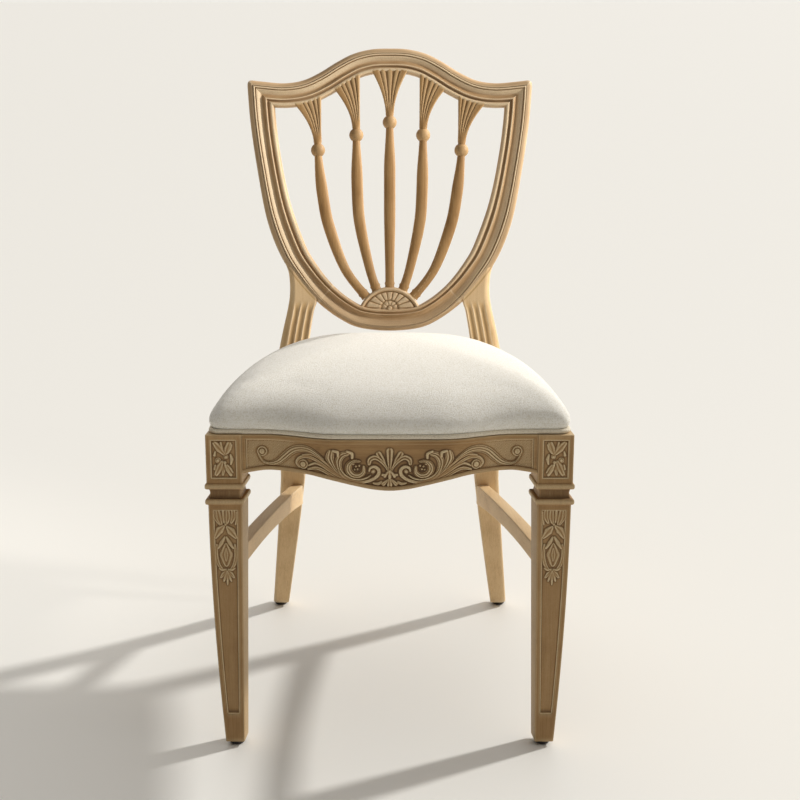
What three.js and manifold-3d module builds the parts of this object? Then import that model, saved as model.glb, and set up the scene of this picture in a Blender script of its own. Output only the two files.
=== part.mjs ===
// A shield back dining chair: moulded shield with five carved ribs, bowed front rail and a stuffed seat.
// Millimetres. +Z is up, the front faces -Y, and left is -X as seen from the front.
import * as THREE from "three";
import { mergeVertices } from "three/addons/utils/BufferGeometryUtils.js";
import Module from "manifold-3d";

const wasm = await Module();
wasm.setup();

// Gap between two pieces that touch, reach of a cutting body past what it cuts, and vertex tolerance
const fit = 0.3;
const overrun = 6;
const sameVertex = 1e-3;

// Seat frame: plan widths at the front and at the back posts, depth, and the height of the rails
const frontWidth = 499.2;
const rearWidth = 368;
const seatDepth = 458;
const sideBow = 8;
const railTop = 461.8;

// Front legs: block, two collars with a neck between them, and the tapered shaft
const blockWidth = 48.6;
const blockDepth = 44;
const blockHeight = 68;
const collarHeight = 9;
const collarReach = 2.5;
const collarOgee = 2;
const neckHeight = 13;
const neckInset = 2.5;
const legShaftSet = 1.6;
const legTopWidth = 46.5;
const legTopDepth = 42;
const legFootWidth = 26;
const legFootDepth = 27;
const legInnerTaper = 5.5;
const legArris = 1.2;
const legShear = 0.112;
const legPanelMargin = 6;
const legPanelTopGap = 7;
const legPanelFootGap = 49.8;
const panelDepth = 1.6;

// Back posts: rear leg, seat block and fluted post. Edges of the rear leg are taken from the post's centre.
const postWidth = 48;
const postDepth = 36;
const rearFootInner = 18;
const rearFootOuter = 44.6;
const kneeInner = -16.6;
const kneeOuter = 23.8;
const rearFootDepth = 26;
const rearFootRake = 55;
const rakeHeight = 400;
const splayHeight = 250;
const postArris = 1.6;
const rearLegBevel = 6;
const postBevel = 12;
const fluteDepth = 2;
const postTopDepth = 24;
const postFrontSet = 3;
const shoulderRise = 150;

// Foot glides, nailed into the feet
const glideRadius = 11;
const glideHeight = 5.8;
const glideNailRadius = 2;
const glideNailLength = 14;

// Rails, their tenons and the side stretchers
const frontRailThickness = 24;
const frontRailSet = 3;
const frontRailBow = 27;
const bowPlateau = 67;
const bowReach = 175;
const frontRailDrop = 71;
const frontRailNarrow = 49.5;
const frontRailBracket = 55.5;
const railBorder = 6;
const railGround = 2;
const railArris = 1;
const sideRailHeight = 60;
const sideRailThickness = 22;
const sideRailSet = 2;
const backRailHeight = 55;
const backRailThickness = 22;
const backRailSet = 6;
const tenonThickness = 9;
const tenonHeight = 38;
const tenonLength = 18;
const tenonDrop = 10;
const stretcherThickness = 20;
const stretcherRearHeight = 35;
const stretcherFrontHeight = 26.5;
const stretcherRearTop = 237.8;
const stretcherFrontTop = 290.8;
const stretcherTopArch = 4.5;
const stretcherUnderArch = 9;
const stretcherArris = 2;
const stretcherInset = 3.3;
const stretcherTenon = 12;

// Corner blocks and the screws
const cornerBlockHeight = 38;
const cornerBlockDrop = 1.5;
const frontBlockRailReach = 42;
const frontBlockSideReach = 54;
const rearBlockRailReach = 40;
const rearBlockSideReach = 60;
const screwRadius = 2;
const screwHeadRadius = 4;
const screwHeadHeight = 2.4;
const screwGrip = 9;
const blockScrewGrip = 13;

// Places of the screws: aside of the legs and posts, and off the faces of the rails
const frontSeatScrewAside = 12;
const frontSeatScrewBehind = 16;
const frontRailScrewAside = 24;
const frontRailScrewOff = 16;
const frontSideScrewBehind = 32;
const frontSideScrewOff = 16;
const rearSeatScrewAside = 6;
const rearSeatScrewBefore = 22;
const rearRailScrewAside = 20;
const rearRailScrewOff = 12;
const rearSideScrewBefore = 40;
const rearSideScrewOff = 14;

// Seat: board, foam, cover, welt and dust cover
const boardThickness = 9;
const boardInset = 14;
const coverWall = 1.8;
const padBow = 12.5;
const padSet = 2.5;
const padWallHeight = 40;
const padRearDropShare = 0.8;
const padCrown = 45;
const padCrownCentre = 290;
const padCornerRadius = 16;
const padRearGap = 1;
const postNotchGap = 1.2;
const weltRadius = 3.2;
const weltTuck = 7;
const weltEndGap = 5;
const dustThickness = 1;
const dustEdge = 1.5;

// Shield: lean and dish of the back, outline, and the moulding that follows it
const backLean = THREE.MathUtils.degToRad(10);
const backSet = 3;
const backFront = seatDepth - backSet;
const backBase = 482.8;
const dish = 10;
const shieldOverhang = 47.2;
const shieldHalfWidth = rearWidth / 2 + shieldOverhang;
const shieldFoot = 23;
const earRise = 407;
const crestRise = 51;
const mouldingFootWidth = 35.5;
const mouldingTopWidth = 42;
const crestWidth = 38.5;
const shieldThickness = 24;
const earRadius = 9;
const shieldTenonLength = 15;
const shieldTenonWidth = 14;
const shieldTenonThickness = 8;
const shieldTenonSet = 1;

// Ribs: half widths of the rod at its top, swell and foot, balls, and fluted heads with their spread
const rodDepth = 14;
const rodTop = 5.6;
const rodSwell = 7.6;
const rodFoot = 5;
const ribSocket = 7;
const headHalfWidth = 6.5;
const centreSpread = 26;
const innerSpread = 55;
const outerSpread = 60;
const ribMidDepth = 11;
const ballRadius = 11.5;
const ribHeadFront = 4;
const ribHeadBack = 19;
const ribFluteDepth = 2.6;
const ribTenonLength = 10;
const ribTenonWidth = 7;
const ribTenonThickness = 7;

// Fan rosette
const fanRadius = 53;
const fanCentreRise = 19;
const fanHubRise = 37;
const fanHubRadius = 9;
const fanFront = 4;
const fanBack = 20;
const fanLobeDepth = 2.6;
const fanRimWidth = 6;
const fanLobes = 12;
const fanSoften = 1;

const wood = new THREE.MeshStandardMaterial({ color: 0xb8956a, roughness: 0.62, metalness: 0 });
const innerWood = new THREE.MeshStandardMaterial({ color: 0xc9a878, roughness: 0.75, metalness: 0 });
const linen = new THREE.MeshStandardMaterial({ color: 0xe6e1d6, roughness: 0.95, metalness: 0 });
const cambric = new THREE.MeshStandardMaterial({ color: 0x3a3632, roughness: 0.95, metalness: 0 });
const foamStuff = new THREE.MeshStandardMaterial({ color: 0xe8dfb4, roughness: 0.95, metalness: 0 });
const nylon = new THREE.MeshStandardMaterial({ color: 0x2a211a, roughness: 0.55, metalness: 0 });
const steel = new THREE.MeshStandardMaterial({ color: 0x9a9a98, roughness: 0.35, metalness: 1 });

const chair = new THREE.Group();

// Turns a closed geometry into a solid body, with its faces pointing out.
function solidOf(geometry) {
  const bare = geometry.clone();
  Object.keys(bare.attributes)
    .filter((key) => key !== "position")
    .forEach((key) => bare.deleteAttribute(key));
  const merged = mergeVertices(bare, sameVertex);
  const spots = merged.attributes.position.array;
  const corner = (i) => new THREE.Vector3().fromArray(spots, i * 3);
  const faces = [];
  let volume = 0;
  for (let i = 0; i < merged.index.count; i += 3) {
    const [a, b, c] = merged.index.array.slice(i, i + 3);
    if (a === b || b === c || c === a) continue;
    faces.push([a, b, c]);
    volume += corner(a).dot(corner(b).cross(corner(c)));
  }
  if (volume < 0) faces.forEach((face) => face.reverse());
  const triVerts = new Uint32Array(faces.flat());
  return new wasm.Manifold(new wasm.Mesh({ numProp: 3, vertProperties: spots, triVerts }));
}

// Splits a flat ring into triangles that keep the ring's own direction.
function capFaces(ring) {
  const normal = new THREE.Vector3();
  ring.forEach((point, i) => {
    normal.add(point.clone().cross(ring[(i + 1) % ring.length]));
  });
  const size = ["x", "y", "z"].map((axis) => Math.abs(normal[axis]));
  const drop = size.indexOf(Math.max(...size));
  const [across, up] = ["x", "y", "z"].filter((_, i) => i !== drop);
  const flat = ring.map((point) => new THREE.Vector2(point[across], point[up]));
  const turn = Math.sign(THREE.ShapeUtils.area(flat));
  return THREE.ShapeUtils.triangulateShape(flat, []).map((face) => {
    const area = THREE.ShapeUtils.area(face.map((i) => flat[i]));
    return Math.sign(area) === turn ? face : [...face].reverse();
  });
}

// A body through a row of rings that have as many points each, closed by its first and last ring.
function loft(rings) {
  const count = rings[0].length;
  const faces = [];
  rings.slice(1).forEach((_, level) => {
    for (let i = 0; i < count; i++) {
      const a = level * count + i;
      const b = level * count + ((i + 1) % count);
      faces.push(a, b, b + count, a, b + count, a + count);
    }
  });
  const last = (rings.length - 1) * count;
  capFaces(rings[0]).forEach((face) => faces.push(...face.reverse()));
  capFaces(rings.at(-1)).forEach((face) => faces.push(...face.map((i) => i + last)));
  const geometry = new THREE.BufferGeometry().setFromPoints(rings.flat());
  geometry.setIndex(faces);
  return solidOf(geometry);
}

// A straight prism over a plan outline of [x, y] pairs, from one height to another.
function prism(outline, low, high) {
  return loft([low, high].map((z) => outline.map(([x, y]) => new THREE.Vector3(x, y, z))));
}

// A box between two corners.
function box(low, high) {
  const size = high.map((value, i) => value - low[i]);
  const middle = high.map((value, i) => (value + low[i]) / 2);
  return solidOf(new THREE.BoxGeometry(...size).translate(...middle));
}

// A box grown by the fit on every side, to cut the mortise of a tenon.
function socket(low, high) {
  return box(
    low.map((value, i) => Math.min(value, high[i]) - fit),
    high.map((value, i) => Math.max(value, low[i]) + fit),
  );
}

function tenon(low, high) {
  return box(
    low.map((value, i) => Math.min(value, high[i])),
    high.map((value, i) => Math.max(value, low[i])),
  );
}

// A turned body from a [radius, height] profile, aimed along a direction and set at a point.
function turned(profile, at, direction, sides) {
  const points = profile.map(([radius, height]) => new THREE.Vector2(radius, height));
  const geometry = new THREE.LatheGeometry(points, sides);
  const aim = new THREE.Quaternion().setFromUnitVectors(new THREE.Vector3(0, 1, 0), direction);
  return solidOf(geometry.applyQuaternion(aim).translate(at.x, at.y, at.z));
}

// Adds a named piece to the chair.
function piece(name, body, material) {
  const built = body.getMesh();
  const geometry = new THREE.BufferGeometry();
  geometry.setAttribute("position", new THREE.BufferAttribute(built.vertProperties, built.numProp));
  geometry.setIndex(new THREE.BufferAttribute(built.triVerts, 1));
  geometry.computeVertexNormals();
  const mesh = new THREE.Mesh(geometry, material);
  mesh.name = name;
  chair.add(mesh);
}

const lerp = THREE.MathUtils.lerp;
const least = (values, miss) => values.reduce((best, value) => (miss(value) < miss(best) ? value : best));
const steps = (count) => Array.from({ length: count + 1 }, (_, i) => i / count);
const ease = (share) => (1 + Math.cos(Math.PI * THREE.MathUtils.clamp(share, 0, 1))) / 2;
const sides = [
  ["left", -1],
  ["right", 1],
];

// Plan curves of the seat frame
const postInner = rearWidth / 2 - postWidth;
const taper = (frontWidth - rearWidth) / 2;
const sideLine = (y, bow) => {
  const share = y / seatDepth;
  return frontWidth / 2 - taper * share + 4 * bow * share * (1 - share);
};
const sideOuter = (y) => sideLine(y, sideBow);
const frontBow = (x) => frontRailBow * ease((Math.abs(x) - bowPlateau) / (bowReach - bowPlateau));
const frontFace = (x) => frontRailSet - frontBow(x);
const frontInner = (x) => frontFace(x) + frontRailThickness;
const sideInner = (y) => sideOuter(y) - sideRailSet - sideRailThickness;
const legBlockInner = (y) => frontWidth / 2 - blockWidth - legShear * y;

// Front legs
const blockFoot = railTop - blockHeight;
const neckTop = blockFoot - collarHeight;
const neckFoot = neckTop - neckHeight;
const shaftTop = neckFoot - collarHeight;
const legFoot = glideHeight + fit;
const legOuterTaper = legTopWidth - legFootWidth - legInnerTaper;
const outerTaperPower = 1.9;
const shaftOuter = (z) => {
  const share = (shaftTop - z) / shaftTop;
  return frontWidth / 2 - legShaftSet - legOuterTaper * share ** outerTaperPower;
};
const shaftInner = (z) => {
  const share = (shaftTop - z) / shaftTop;
  return frontWidth / 2 - legShaftSet - legTopWidth + legInnerTaper * share;
};
const shaftBack = (z) => lerp(legFootDepth, legTopDepth, z / shaftTop);

// One cross-section of a front leg: a four-sided plan with small arrises, sheared with the side of the seat.
function legRing(side, z, outer, inner, front, back, arris) {
  const plan = [
    [outer, front + arris],
    [outer, back - arris],
    [outer - arris, back],
    [inner + arris, back],
    [inner, back - arris],
    [inner, front + arris],
    [inner + arris, front],
    [outer - arris, front],
  ];
  return plan.map(([x, y]) => new THREE.Vector3(side * (x - legShear * y), y, z));
}

function legCollar(side, foot, top, reach) {
  const outer = frontWidth / 2 + reach;
  const inner = frontWidth / 2 - blockWidth - reach;
  const ring = (z, inset) =>
    legRing(side, z, outer - inset, inner + inset, inset - reach, blockDepth + reach - inset, legArris);
  return [
    ring(foot, collarOgee),
    ring(foot + collarOgee, 0),
    ring(top - collarOgee, 0),
    ring(top, collarOgee),
  ];
}

function frontLeg(side) {
  const shaftShares = [0.25, 0.5, 0.72, 0.88];
  const between = shaftShares.map((share) => shaftTop * (1 - share)).reverse();
  const heights = [legFoot + legArris, ...between, shaftTop];
  const shaftRing = (z, inset) =>
    legRing(side, z, shaftOuter(z) - inset, shaftInner(z) + inset, inset, shaftBack(z) - inset, legArris);
  const blockRing = (z, inset) =>
    legRing(
      side,
      z,
      frontWidth / 2 - inset,
      frontWidth / 2 - blockWidth + inset,
      inset,
      blockDepth - inset,
      legArris,
    );
  let leg = loft([
    shaftRing(legFoot, legArris),
    ...heights.map((z) => shaftRing(z, 0)),
    ...legCollar(side, shaftTop + fit, neckFoot, collarReach),
    blockRing(neckFoot + fit, neckInset),
    blockRing(neckTop - fit, neckInset),
    ...legCollar(side, neckTop, blockFoot - fit, collarReach),
    blockRing(blockFoot, 0),
    blockRing(railTop, 0),
  ]);
  leg = leg.subtract(legPanel(side)).subtract(blockPanel(side));
  leg = leg.subtract(frontRailTenon(side, socket)).subtract(sideRailFrontTenon(side, socket));
  leg = leg.subtract(stretcherFrontTenon(side, socket));
  return leg.subtract(glideSocket(side * frontFootX, legFootDepth / 2));
}

// Middle of a front foot, as a distance from the chair's centre plane
const frontFootX = shaftOuter(0) - legFootWidth / 2 - (legShear * legFootDepth) / 2;

// The long sunk panel follows the edges of the shaft.
function legPanel(side) {
  const top = shaftTop - legPanelTopGap;
  const levels = steps(5).map((share) => lerp(legPanelFootGap, top, share));
  return loft(
    levels.map((z) => {
      const outer = shaftOuter(z) - legPanelMargin;
      const inner = shaftInner(z) + legPanelMargin;
      return legRing(side, z, outer, inner, -overrun, panelDepth, fit);
    }),
  );
}

function blockPanel(side) {
  const outer = frontWidth / 2 - legPanelMargin;
  const inner = frontWidth / 2 - blockWidth + legPanelMargin;
  const levels = [blockFoot + legPanelMargin, railTop - legPanelMargin];
  return loft(levels.map((z) => legRing(side, z, outer, inner, -overrun, panelDepth, fit)));
}

// Foot glides: a low disc on a nail
const glideProfile = (grow) => [
  [0, 0],
  [glideRadius - glideHeight / 3, 0],
  [glideRadius, glideHeight / 3],
  [glideRadius, glideHeight],
  [glideNailRadius + grow, glideHeight],
  [glideNailRadius + grow, glideHeight + glideNailLength + grow],
  [0, glideHeight + glideNailLength + grow],
];
const upward = new THREE.Vector3(0, 0, 1);

function glide(x, y) {
  return turned(glideProfile(0), new THREE.Vector3(x, y, 0), upward, 12);
}

function glideSocket(x, y) {
  return turned(glideProfile(fit), new THREE.Vector3(x, y, 0), upward, 12);
}

// The bevel is rounded: it passes through this middle point, in shares of the bevel.
const bevelMiddle = { across: 0.35, deep: 0.4 };

// Back posts. The section runs round the post from its inner back arris; depths are measured from the front.
function postSection(outer, inner, front, back, bevel, flute) {
  const faceEdge = outer - bevel;
  const innerEdge = inner + postArris;
  const flutes = steps(6).map((share, i) => [lerp(innerEdge, faceEdge, share), front + (i % 2 ? flute : 0)]);
  return [
    [innerEdge, back],
    [inner, back - postArris],
    [inner, front + postArris],
    ...flutes,
    [outer - bevel * bevelMiddle.across, front + bevel * bevelMiddle.deep],
    [outer, front + bevel],
    [outer, back - postArris],
    [outer - postArris, back],
  ];
}

const postCentre = (rearWidth - postWidth) / 2;
const splayPower = 1.1;
const rearLegFront = (z) => seatDepth + rearFootRake * Math.max(0, 1 - z / rakeHeight) ** 2;
const rearSeatFoot = railTop - sideRailHeight - postDepth;
const rearLegEdge = (z, foot, knee, top) => {
  if (z > splayHeight) {
    return postCentre + lerp(knee, top, THREE.MathUtils.smoothstep(z, splayHeight, rearSeatFoot));
  }
  return postCentre + knee + (foot - knee) * (1 - z / splayHeight) ** splayPower;
};
const rearLegOuter = (z) => rearLegEdge(z, rearFootOuter, kneeOuter, postWidth / 2);
const rearLegInner = (z) => rearLegEdge(z, rearFootInner, kneeInner, -postWidth / 2);
const rearLegDepth = (z) => lerp(rearFootDepth, postDepth, THREE.MathUtils.smoothstep(z, 0, rakeHeight));

function rearLegRings(side) {
  const ring = (z, inset, bevel) => {
    const front = rearLegFront(z) + inset;
    const back = front + rearLegDepth(z) - 2 * inset;
    const plan = postSection(rearLegOuter(z) - inset, rearLegInner(z) + inset, front, back, bevel, 0);
    return plan.map(([x, y]) => new THREE.Vector3(side * x, y, z));
  };
  const lower = steps(10).map((share) => lerp(legFoot + postArris, splayHeight, share));
  const upper = steps(4).map((share) => lerp(splayHeight, rearSeatFoot, share));
  return [
    ring(legFoot, postArris, rearLegBevel - postArris),
    ...[...lower, ...upper.slice(1)].map((z) => ring(z, 0, rearLegBevel)),
    ring(railTop - sideRailHeight - fit, 0, postArris),
    ring(railTop + fit, 0, postArris),
  ];
}

// Stations of the post above the seat, up the back: rise, outer edge, inner edge, front and back face.
// Rises are shares of the height of the shoulder; edges are shares of the post's width, out from its centre.
const postRiseShares = [0, 0.17, 0.28, 0.38, 0.48, 0.56, 0.65, 0.77, 0.85, 0.93, 1];
const postOuterShares = [0.43, 0.32, 0.24, 0.17, 0.11, 0.085, 0.08, 0.11, 0.18, 0.3, 0.37];
const postInnerShares = [-0.53, -0.61, -0.67, -0.73, -0.83, -0.8, -0.7, -0.46, -0.25, -0.04, 0.15];
const postSinkShares = [0, 0, 0, 0, 0, 0, 0, 0.02, 0.08, 0.2, 0.3];

function postRings(side) {
  return postRiseShares.map((rise, i) => {
    const outer = postCentre + postWidth * postOuterShares[i];
    const inner = postCentre + postWidth * postInnerShares[i];
    const front = postFrontSet + postTopDepth * postSinkShares[i];
    const back = lerp(postDepth - postFrontSet, postTopDepth - fit, Math.min(1, rise / 0.6));
    const fade = 1 - THREE.MathUtils.smoothstep(rise, 0.35, 0.5);
    const bevel = lerp(postBevel, postBevel * 0.6, rise);
    const plan = postSection(outer, inner, front, back, bevel, fluteDepth * fade);
    return plan.map(([across, depth]) => onBack(side * across, shoulderRise * rise, depth));
  });
}

// A point on the leaning, dished back: across, up along the back, and behind its front plane.
function onBack(across, up, depth) {
  const bend = dish * (1 - Math.min(1, (across / shieldHalfWidth) ** 2));
  const y = backFront + up * Math.sin(backLean) + (depth + bend) * Math.cos(backLean);
  const z = backBase + up * Math.cos(backLean) - (depth + bend) * Math.sin(backLean);
  return new THREE.Vector3(across, y, z);
}

// Outline of the shield's flank, from the middle of its foot to the ear: shares of half width and ear rise
const flankShares = [
  [0, 0],
  [0.212, 0.012],
  [0.355, 0.048],
  [0.51, 0.114],
  [0.65, 0.2],
  [0.77, 0.3],
  [0.869, 0.45],
  [0.938, 0.665],
  [0.98, 0.84],
  [1, 1],
];
// Outline of the crest, from the ear to the middle, in shares of half width and crest rise
const crestShares = [
  [1, 0],
  [0.88, -0.06],
  [0.74, -0.1],
  [0.61, -0.01],
  [0.49, 0.24],
  [0.375, 0.56],
  [0.257, 0.83],
  [0.13, 0.973],
  [0, 1],
];
const flankPoints = flankShares.map(
  ([across, up]) => new THREE.Vector2(across * shieldHalfWidth, shieldFoot + up * earRise),
);
const crestPoints = crestShares.map(
  ([across, up]) => new THREE.Vector2(across * shieldHalfWidth, shieldFoot + earRise + up * crestRise),
);
const mirrored = (points) => points.map((point) => new THREE.Vector2(-point.x, point.y));
// Both outlines run from left to right, so that the inside of the shield lies on one side of each.
const flankCurve = new THREE.SplineCurve([...mirrored(flankPoints).reverse(), ...flankPoints.slice(1)]);
const crestCurve = new THREE.SplineCurve([...mirrored(crestPoints), ...[...crestPoints].reverse().slice(1)]);
const flankShare = (point) => (flankPoints.length - 1 + point) / (2 * (flankPoints.length - 1));
const jointPoint = 3;
const flankWidth = ({ y }) => lerp(mouldingFootWidth, mouldingTopWidth, (y - shieldFoot) / earRise);

// Profile of the moulding from its outer edge to its inner edge, in shares of its width and its thickness:
// bevelled shoulder, bead, groove, cove, ridge, groove and inner bead, then the flat back.
const mouldingProfile = () => {
  const acrossShares = [0, 0.08, 0.2, 0.25, 0.28, 0.32, 0.5, 0.68, 0.76, 0.79, 0.85, 0.94, 1];
  const depthShares = [0.36, 0.14, 0.02, 0.02, 0.1, 0.04, 0.2, 0.06, 0.06, 0.17, 0.08, 0.1, 0.28];
  const front = acrossShares.map((share, i) => [share, shieldThickness * depthShares[i]]);
  return [...front, [1, shieldThickness], [0, shieldThickness]];
};
// Front corners of a plain band over the moulding, used to trim what meets it
const bandProfile = (from, to) => [
  [from, -overrun],
  [to, -overrun],
  [to, shieldThickness + overrun],
  [from, shieldThickness + overrun],
];

// Frames along an outline between two shares of its curve: point, direction, inward normal and width.
function outlineFrames(curve, from, to, count) {
  return steps(count).map((share) => {
    const at = lerp(from, to, share);
    const point = curve.getPoint(at);
    const along = curve.getTangent(at).normalize();
    const inward = curve === flankCurve ? 1 : -1;
    const normal = new THREE.Vector2(-along.y, along.x).multiplyScalar(inward);
    const width = curve === flankCurve ? flankWidth(point) : crestWidth;
    return { point, along, normal, width };
  });
}

// Sweeps a profile of [share of width, depth] pairs along frames; extra widens the moulding on both sides.
function sweep(frames, profile, extra = 0) {
  return loft(
    frames.map(({ point, normal, width, round = 0 }) =>
      profile.map(([share, depth]) => {
        const offset = lerp(round, width, share) + (share > 0 ? extra : -extra);
        const spot = point.clone().addScaledVector(normal, offset);
        return onBack(spot.x, spot.y, depth);
      }),
    ),
  );
}

// Mitre at an ear, where the crest meets the flank: from the outer corner to the inner one, and across it
// towards the flank
const [earFlank] = outlineFrames(flankCurve, 1, 1, 1);
const [earCrest] = outlineFrames(crestCurve, 1, 1, 1);
const earLean = earFlank.normal.dot(earCrest.normal);
const mitre = earFlank.normal
  .clone()
  .multiplyScalar(earFlank.width - earLean * earCrest.width)
  .addScaledVector(earCrest.normal, earCrest.width - earLean * earFlank.width)
  .divideScalar(1 - earLean ** 2);
const mitreAlong = mitre.clone().normalize();
const mitreAcross = new THREE.Vector2(-mitreAlong.y, mitreAlong.x);
const mitreReach = 2 * mouldingTopWidth;

// The room on one side of the mitre of an ear: way is 1 on the flank's side and -1 on the crest's.
function mitreRoom(side, way) {
  const ear = flankPoints.at(-1);
  const corners = [
    [-mitreReach, -fit / 2],
    [mitreReach, -fit / 2],
    [mitreReach, mitreReach],
    [-mitreReach, mitreReach],
  ];
  const plan = corners.map(([along, across]) =>
    ear.clone().addScaledVector(mitreAlong, along).addScaledVector(mitreAcross, way * across),
  );
  return loft(
    [-5 * overrun, shieldThickness + 5 * overrun].map((depth) =>
      plan.map((spot) => onBack(side * spot.x, spot.y, depth)),
    ),
  );
}

// Frames along an outline, with more of them and with the outer corner rounded close to each of the ears.
function earFrames(curve, from, to, count, ears) {
  const length = curve.getLength();
  const close = [0.15, 0.4, 0.7].map((share) => (earRadius * share) / length);
  const shares = steps(count).map((share) => lerp(from, to, share));
  if (ears.includes(1)) shares.push(...close.map((gap) => to - gap));
  if (ears.includes(-1)) shares.push(...close.map((gap) => from + gap));
  shares.sort((a, b) => a - b);
  const frames = shares.map((at) => outlineFrames(curve, at, at, 1)[0]);
  ears.forEach((side) => {
    const ear = frames.at(side > 0 ? -1 : 0);
    frames.forEach((frame) => {
      const left = Math.min(frame.point.distanceTo(ear.point), earRadius);
      const round = earRadius - Math.sqrt(earRadius ** 2 - (earRadius - left) ** 2);
      frame.round = Math.max(round, frame.round || 0);
    });
  });
  return frames;
}

// A block in the plane of the back, along a direction: used for the tenons of the shield.
function backBlock(start, direction, length, width, near, far, grow) {
  const along = direction.clone().normalize();
  const across = new THREE.Vector2(-along.y, along.x);
  return loft(
    [-grow, length + grow].map((reach) =>
      [
        [-1, near - grow],
        [1, near - grow],
        [1, far + grow],
        [-1, far + grow],
      ].map(([way, depth]) => {
        const spot = start.clone().addScaledVector(along, reach);
        spot.addScaledVector(across, way * (width / 2 + grow));
        return onBack(spot.x, spot.y, depth);
      }),
    ),
  );
}

const tenonNear = (shieldThickness - shieldTenonThickness) / 2 + shieldTenonSet;
const tenonFar = tenonNear + shieldTenonThickness;

// The tenon at the top of a flank, which goes up into the crest at the ear
function earTenon(side, grow) {
  const ear = flankPoints.at(-1);
  const middle = new THREE.Vector2(side * ear.x, ear.y).addScaledVector(
    new THREE.Vector2(side * mitre.x, mitre.y),
    1 / 2,
  );
  const start = middle.clone().sub(new THREE.Vector2(0, shieldTenonLength));
  const length = 2 * shieldTenonLength;
  return backBlock(start, new THREE.Vector2(0, 1), length, shieldTenonWidth, tenonNear, tenonFar, grow);
}

// The tenon at each end of the lower rail, which goes into the flank
function footTenon(side, grow) {
  const [frame] = outlineFrames(flankCurve, flankShare(side * jointPoint), 1, 1);
  const outward = frame.along.clone().multiplyScalar(side);
  const start = frame.point
    .clone()
    .addScaledVector(frame.normal, frame.width / 2)
    .addScaledVector(outward, -shieldTenonLength);
  return backBlock(start, outward, 2 * shieldTenonLength, shieldTenonWidth, tenonNear, tenonFar, grow);
}

function backPost(side) {
  const joint = flankShare(side * jointPoint);
  const ear = side > 0 ? 1 : 0;
  const from = Math.min(joint, ear);
  const to = Math.max(joint, ear);
  const frames = earFrames(flankCurve, from, to, 18, [side]);
  const flank = sweep(frames, mouldingProfile()).subtract(mitreRoom(side, -1));
  let post = loft([...rearLegRings(side), ...postRings(side)]).add(flank).add(earTenon(side, 0));
  post = post.subtract(footTenon(side, fit)).subtract(lowerRailBand(fit));
  post = post.subtract(backRailTenon(side, socket)).subtract(sideRailRearTenon(side, socket));
  post = post.subtract(stretcherRearTenon(side, socket));
  return post.subtract(glideSocket(side * rearFootX, rearFootY));
}

const crestFrames = () => earFrames(crestCurve, 0, 1, 30, [-1, 1]);

function crestRail() {
  let crest = sweep(crestFrames(), mouldingProfile());
  sides.forEach(([, side]) => {
    crest = crest.subtract(mitreRoom(side, 1)).subtract(earTenon(side, fit));
  });
  ribs.forEach((rib) => {
    crest = crest.subtract(ribTenon(rib, fit));
  });
  return crest;
}

const lowerFrames = (gap) => {
  const frames = outlineFrames(flankCurve, flankShare(-jointPoint), flankShare(jointPoint), 14);
  frames[0].point.addScaledVector(frames[0].along, -gap);
  frames.at(-1).point.addScaledVector(frames.at(-1).along, gap);
  return frames;
};

// The room of the lower rail, grown by a gap, that its neighbours keep clear
function lowerRailBand(gap) {
  return sweep(lowerFrames(gap), bandProfile(0, 1), gap);
}

function lowerRail() {
  let rail = sweep(lowerFrames(0), mouldingProfile());
  sides.forEach(([, side]) => {
    rail = rail.add(footTenon(side, 0));
  });
  return rail;
}

// Ribs. Each axis runs from its head to its foot; places are shares of the half width and of the ear rise.
const flarePower = 1.8;
const ribShares = {
  centre: {
    axis: [[0, 1.06], [0, 0.84], [0, 0.52], [0, 0.2], [0, 0.15]],
    ball: 0.833,
    neck: 0.862,
    side: 0,
  },
  inner: {
    axis: [[0.238, 1.03], [0.236, 0.785], [0.227, 0.53], [0.205, 0.41], [0.14, 0.245], [0.09, 0.16]],
    ball: 0.783,
    neck: 0.812,
    side: 1,
  },
  outer: {
    axis: [[0.508, 0.97], [0.506, 0.72], [0.47, 0.53], [0.425, 0.41], [0.315, 0.247], [0.165, 0.135]],
    ball: 0.722,
    neck: 0.755,
    side: 1,
  },
};
const ribs = [
  { name: "centre_rib", side: 1, shape: ribShares.centre, inward: centreSpread, outward: centreSpread },
  { name: "left_inner_rib", side: -1, shape: ribShares.inner, inward: 0, outward: innerSpread },
  { name: "right_inner_rib", side: 1, shape: ribShares.inner, inward: 0, outward: innerSpread },
  { name: "left_outer_rib", side: -1, shape: ribShares.outer, inward: 0, outward: outerSpread },
  { name: "right_outer_rib", side: 1, shape: ribShares.outer, inward: 0, outward: outerSpread },
];

function ribAxis(rib) {
  const points = rib.shape.axis.map(
    ([across, up]) => new THREE.Vector2(rib.side * across * shieldHalfWidth, shieldFoot + up * earRise),
  );
  return new THREE.SplineCurve(points);
}

// Half width of the rod at a share of its length below the ball
function rodHalf(share) {
  const swellAt = 0.35;
  const socketAt = 0.93;
  const foot = lerp(rodFoot, ribSocket, THREE.MathUtils.smoothstep(share, socketAt, 1));
  if (share < swellAt) return lerp(rodTop, rodSwell, THREE.MathUtils.smoothstep(share, 0, swellAt));
  return Math.max(lerp(rodSwell, rodFoot, THREE.MathUtils.smoothstep(share, swellAt, socketAt)), foot);
}

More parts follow.
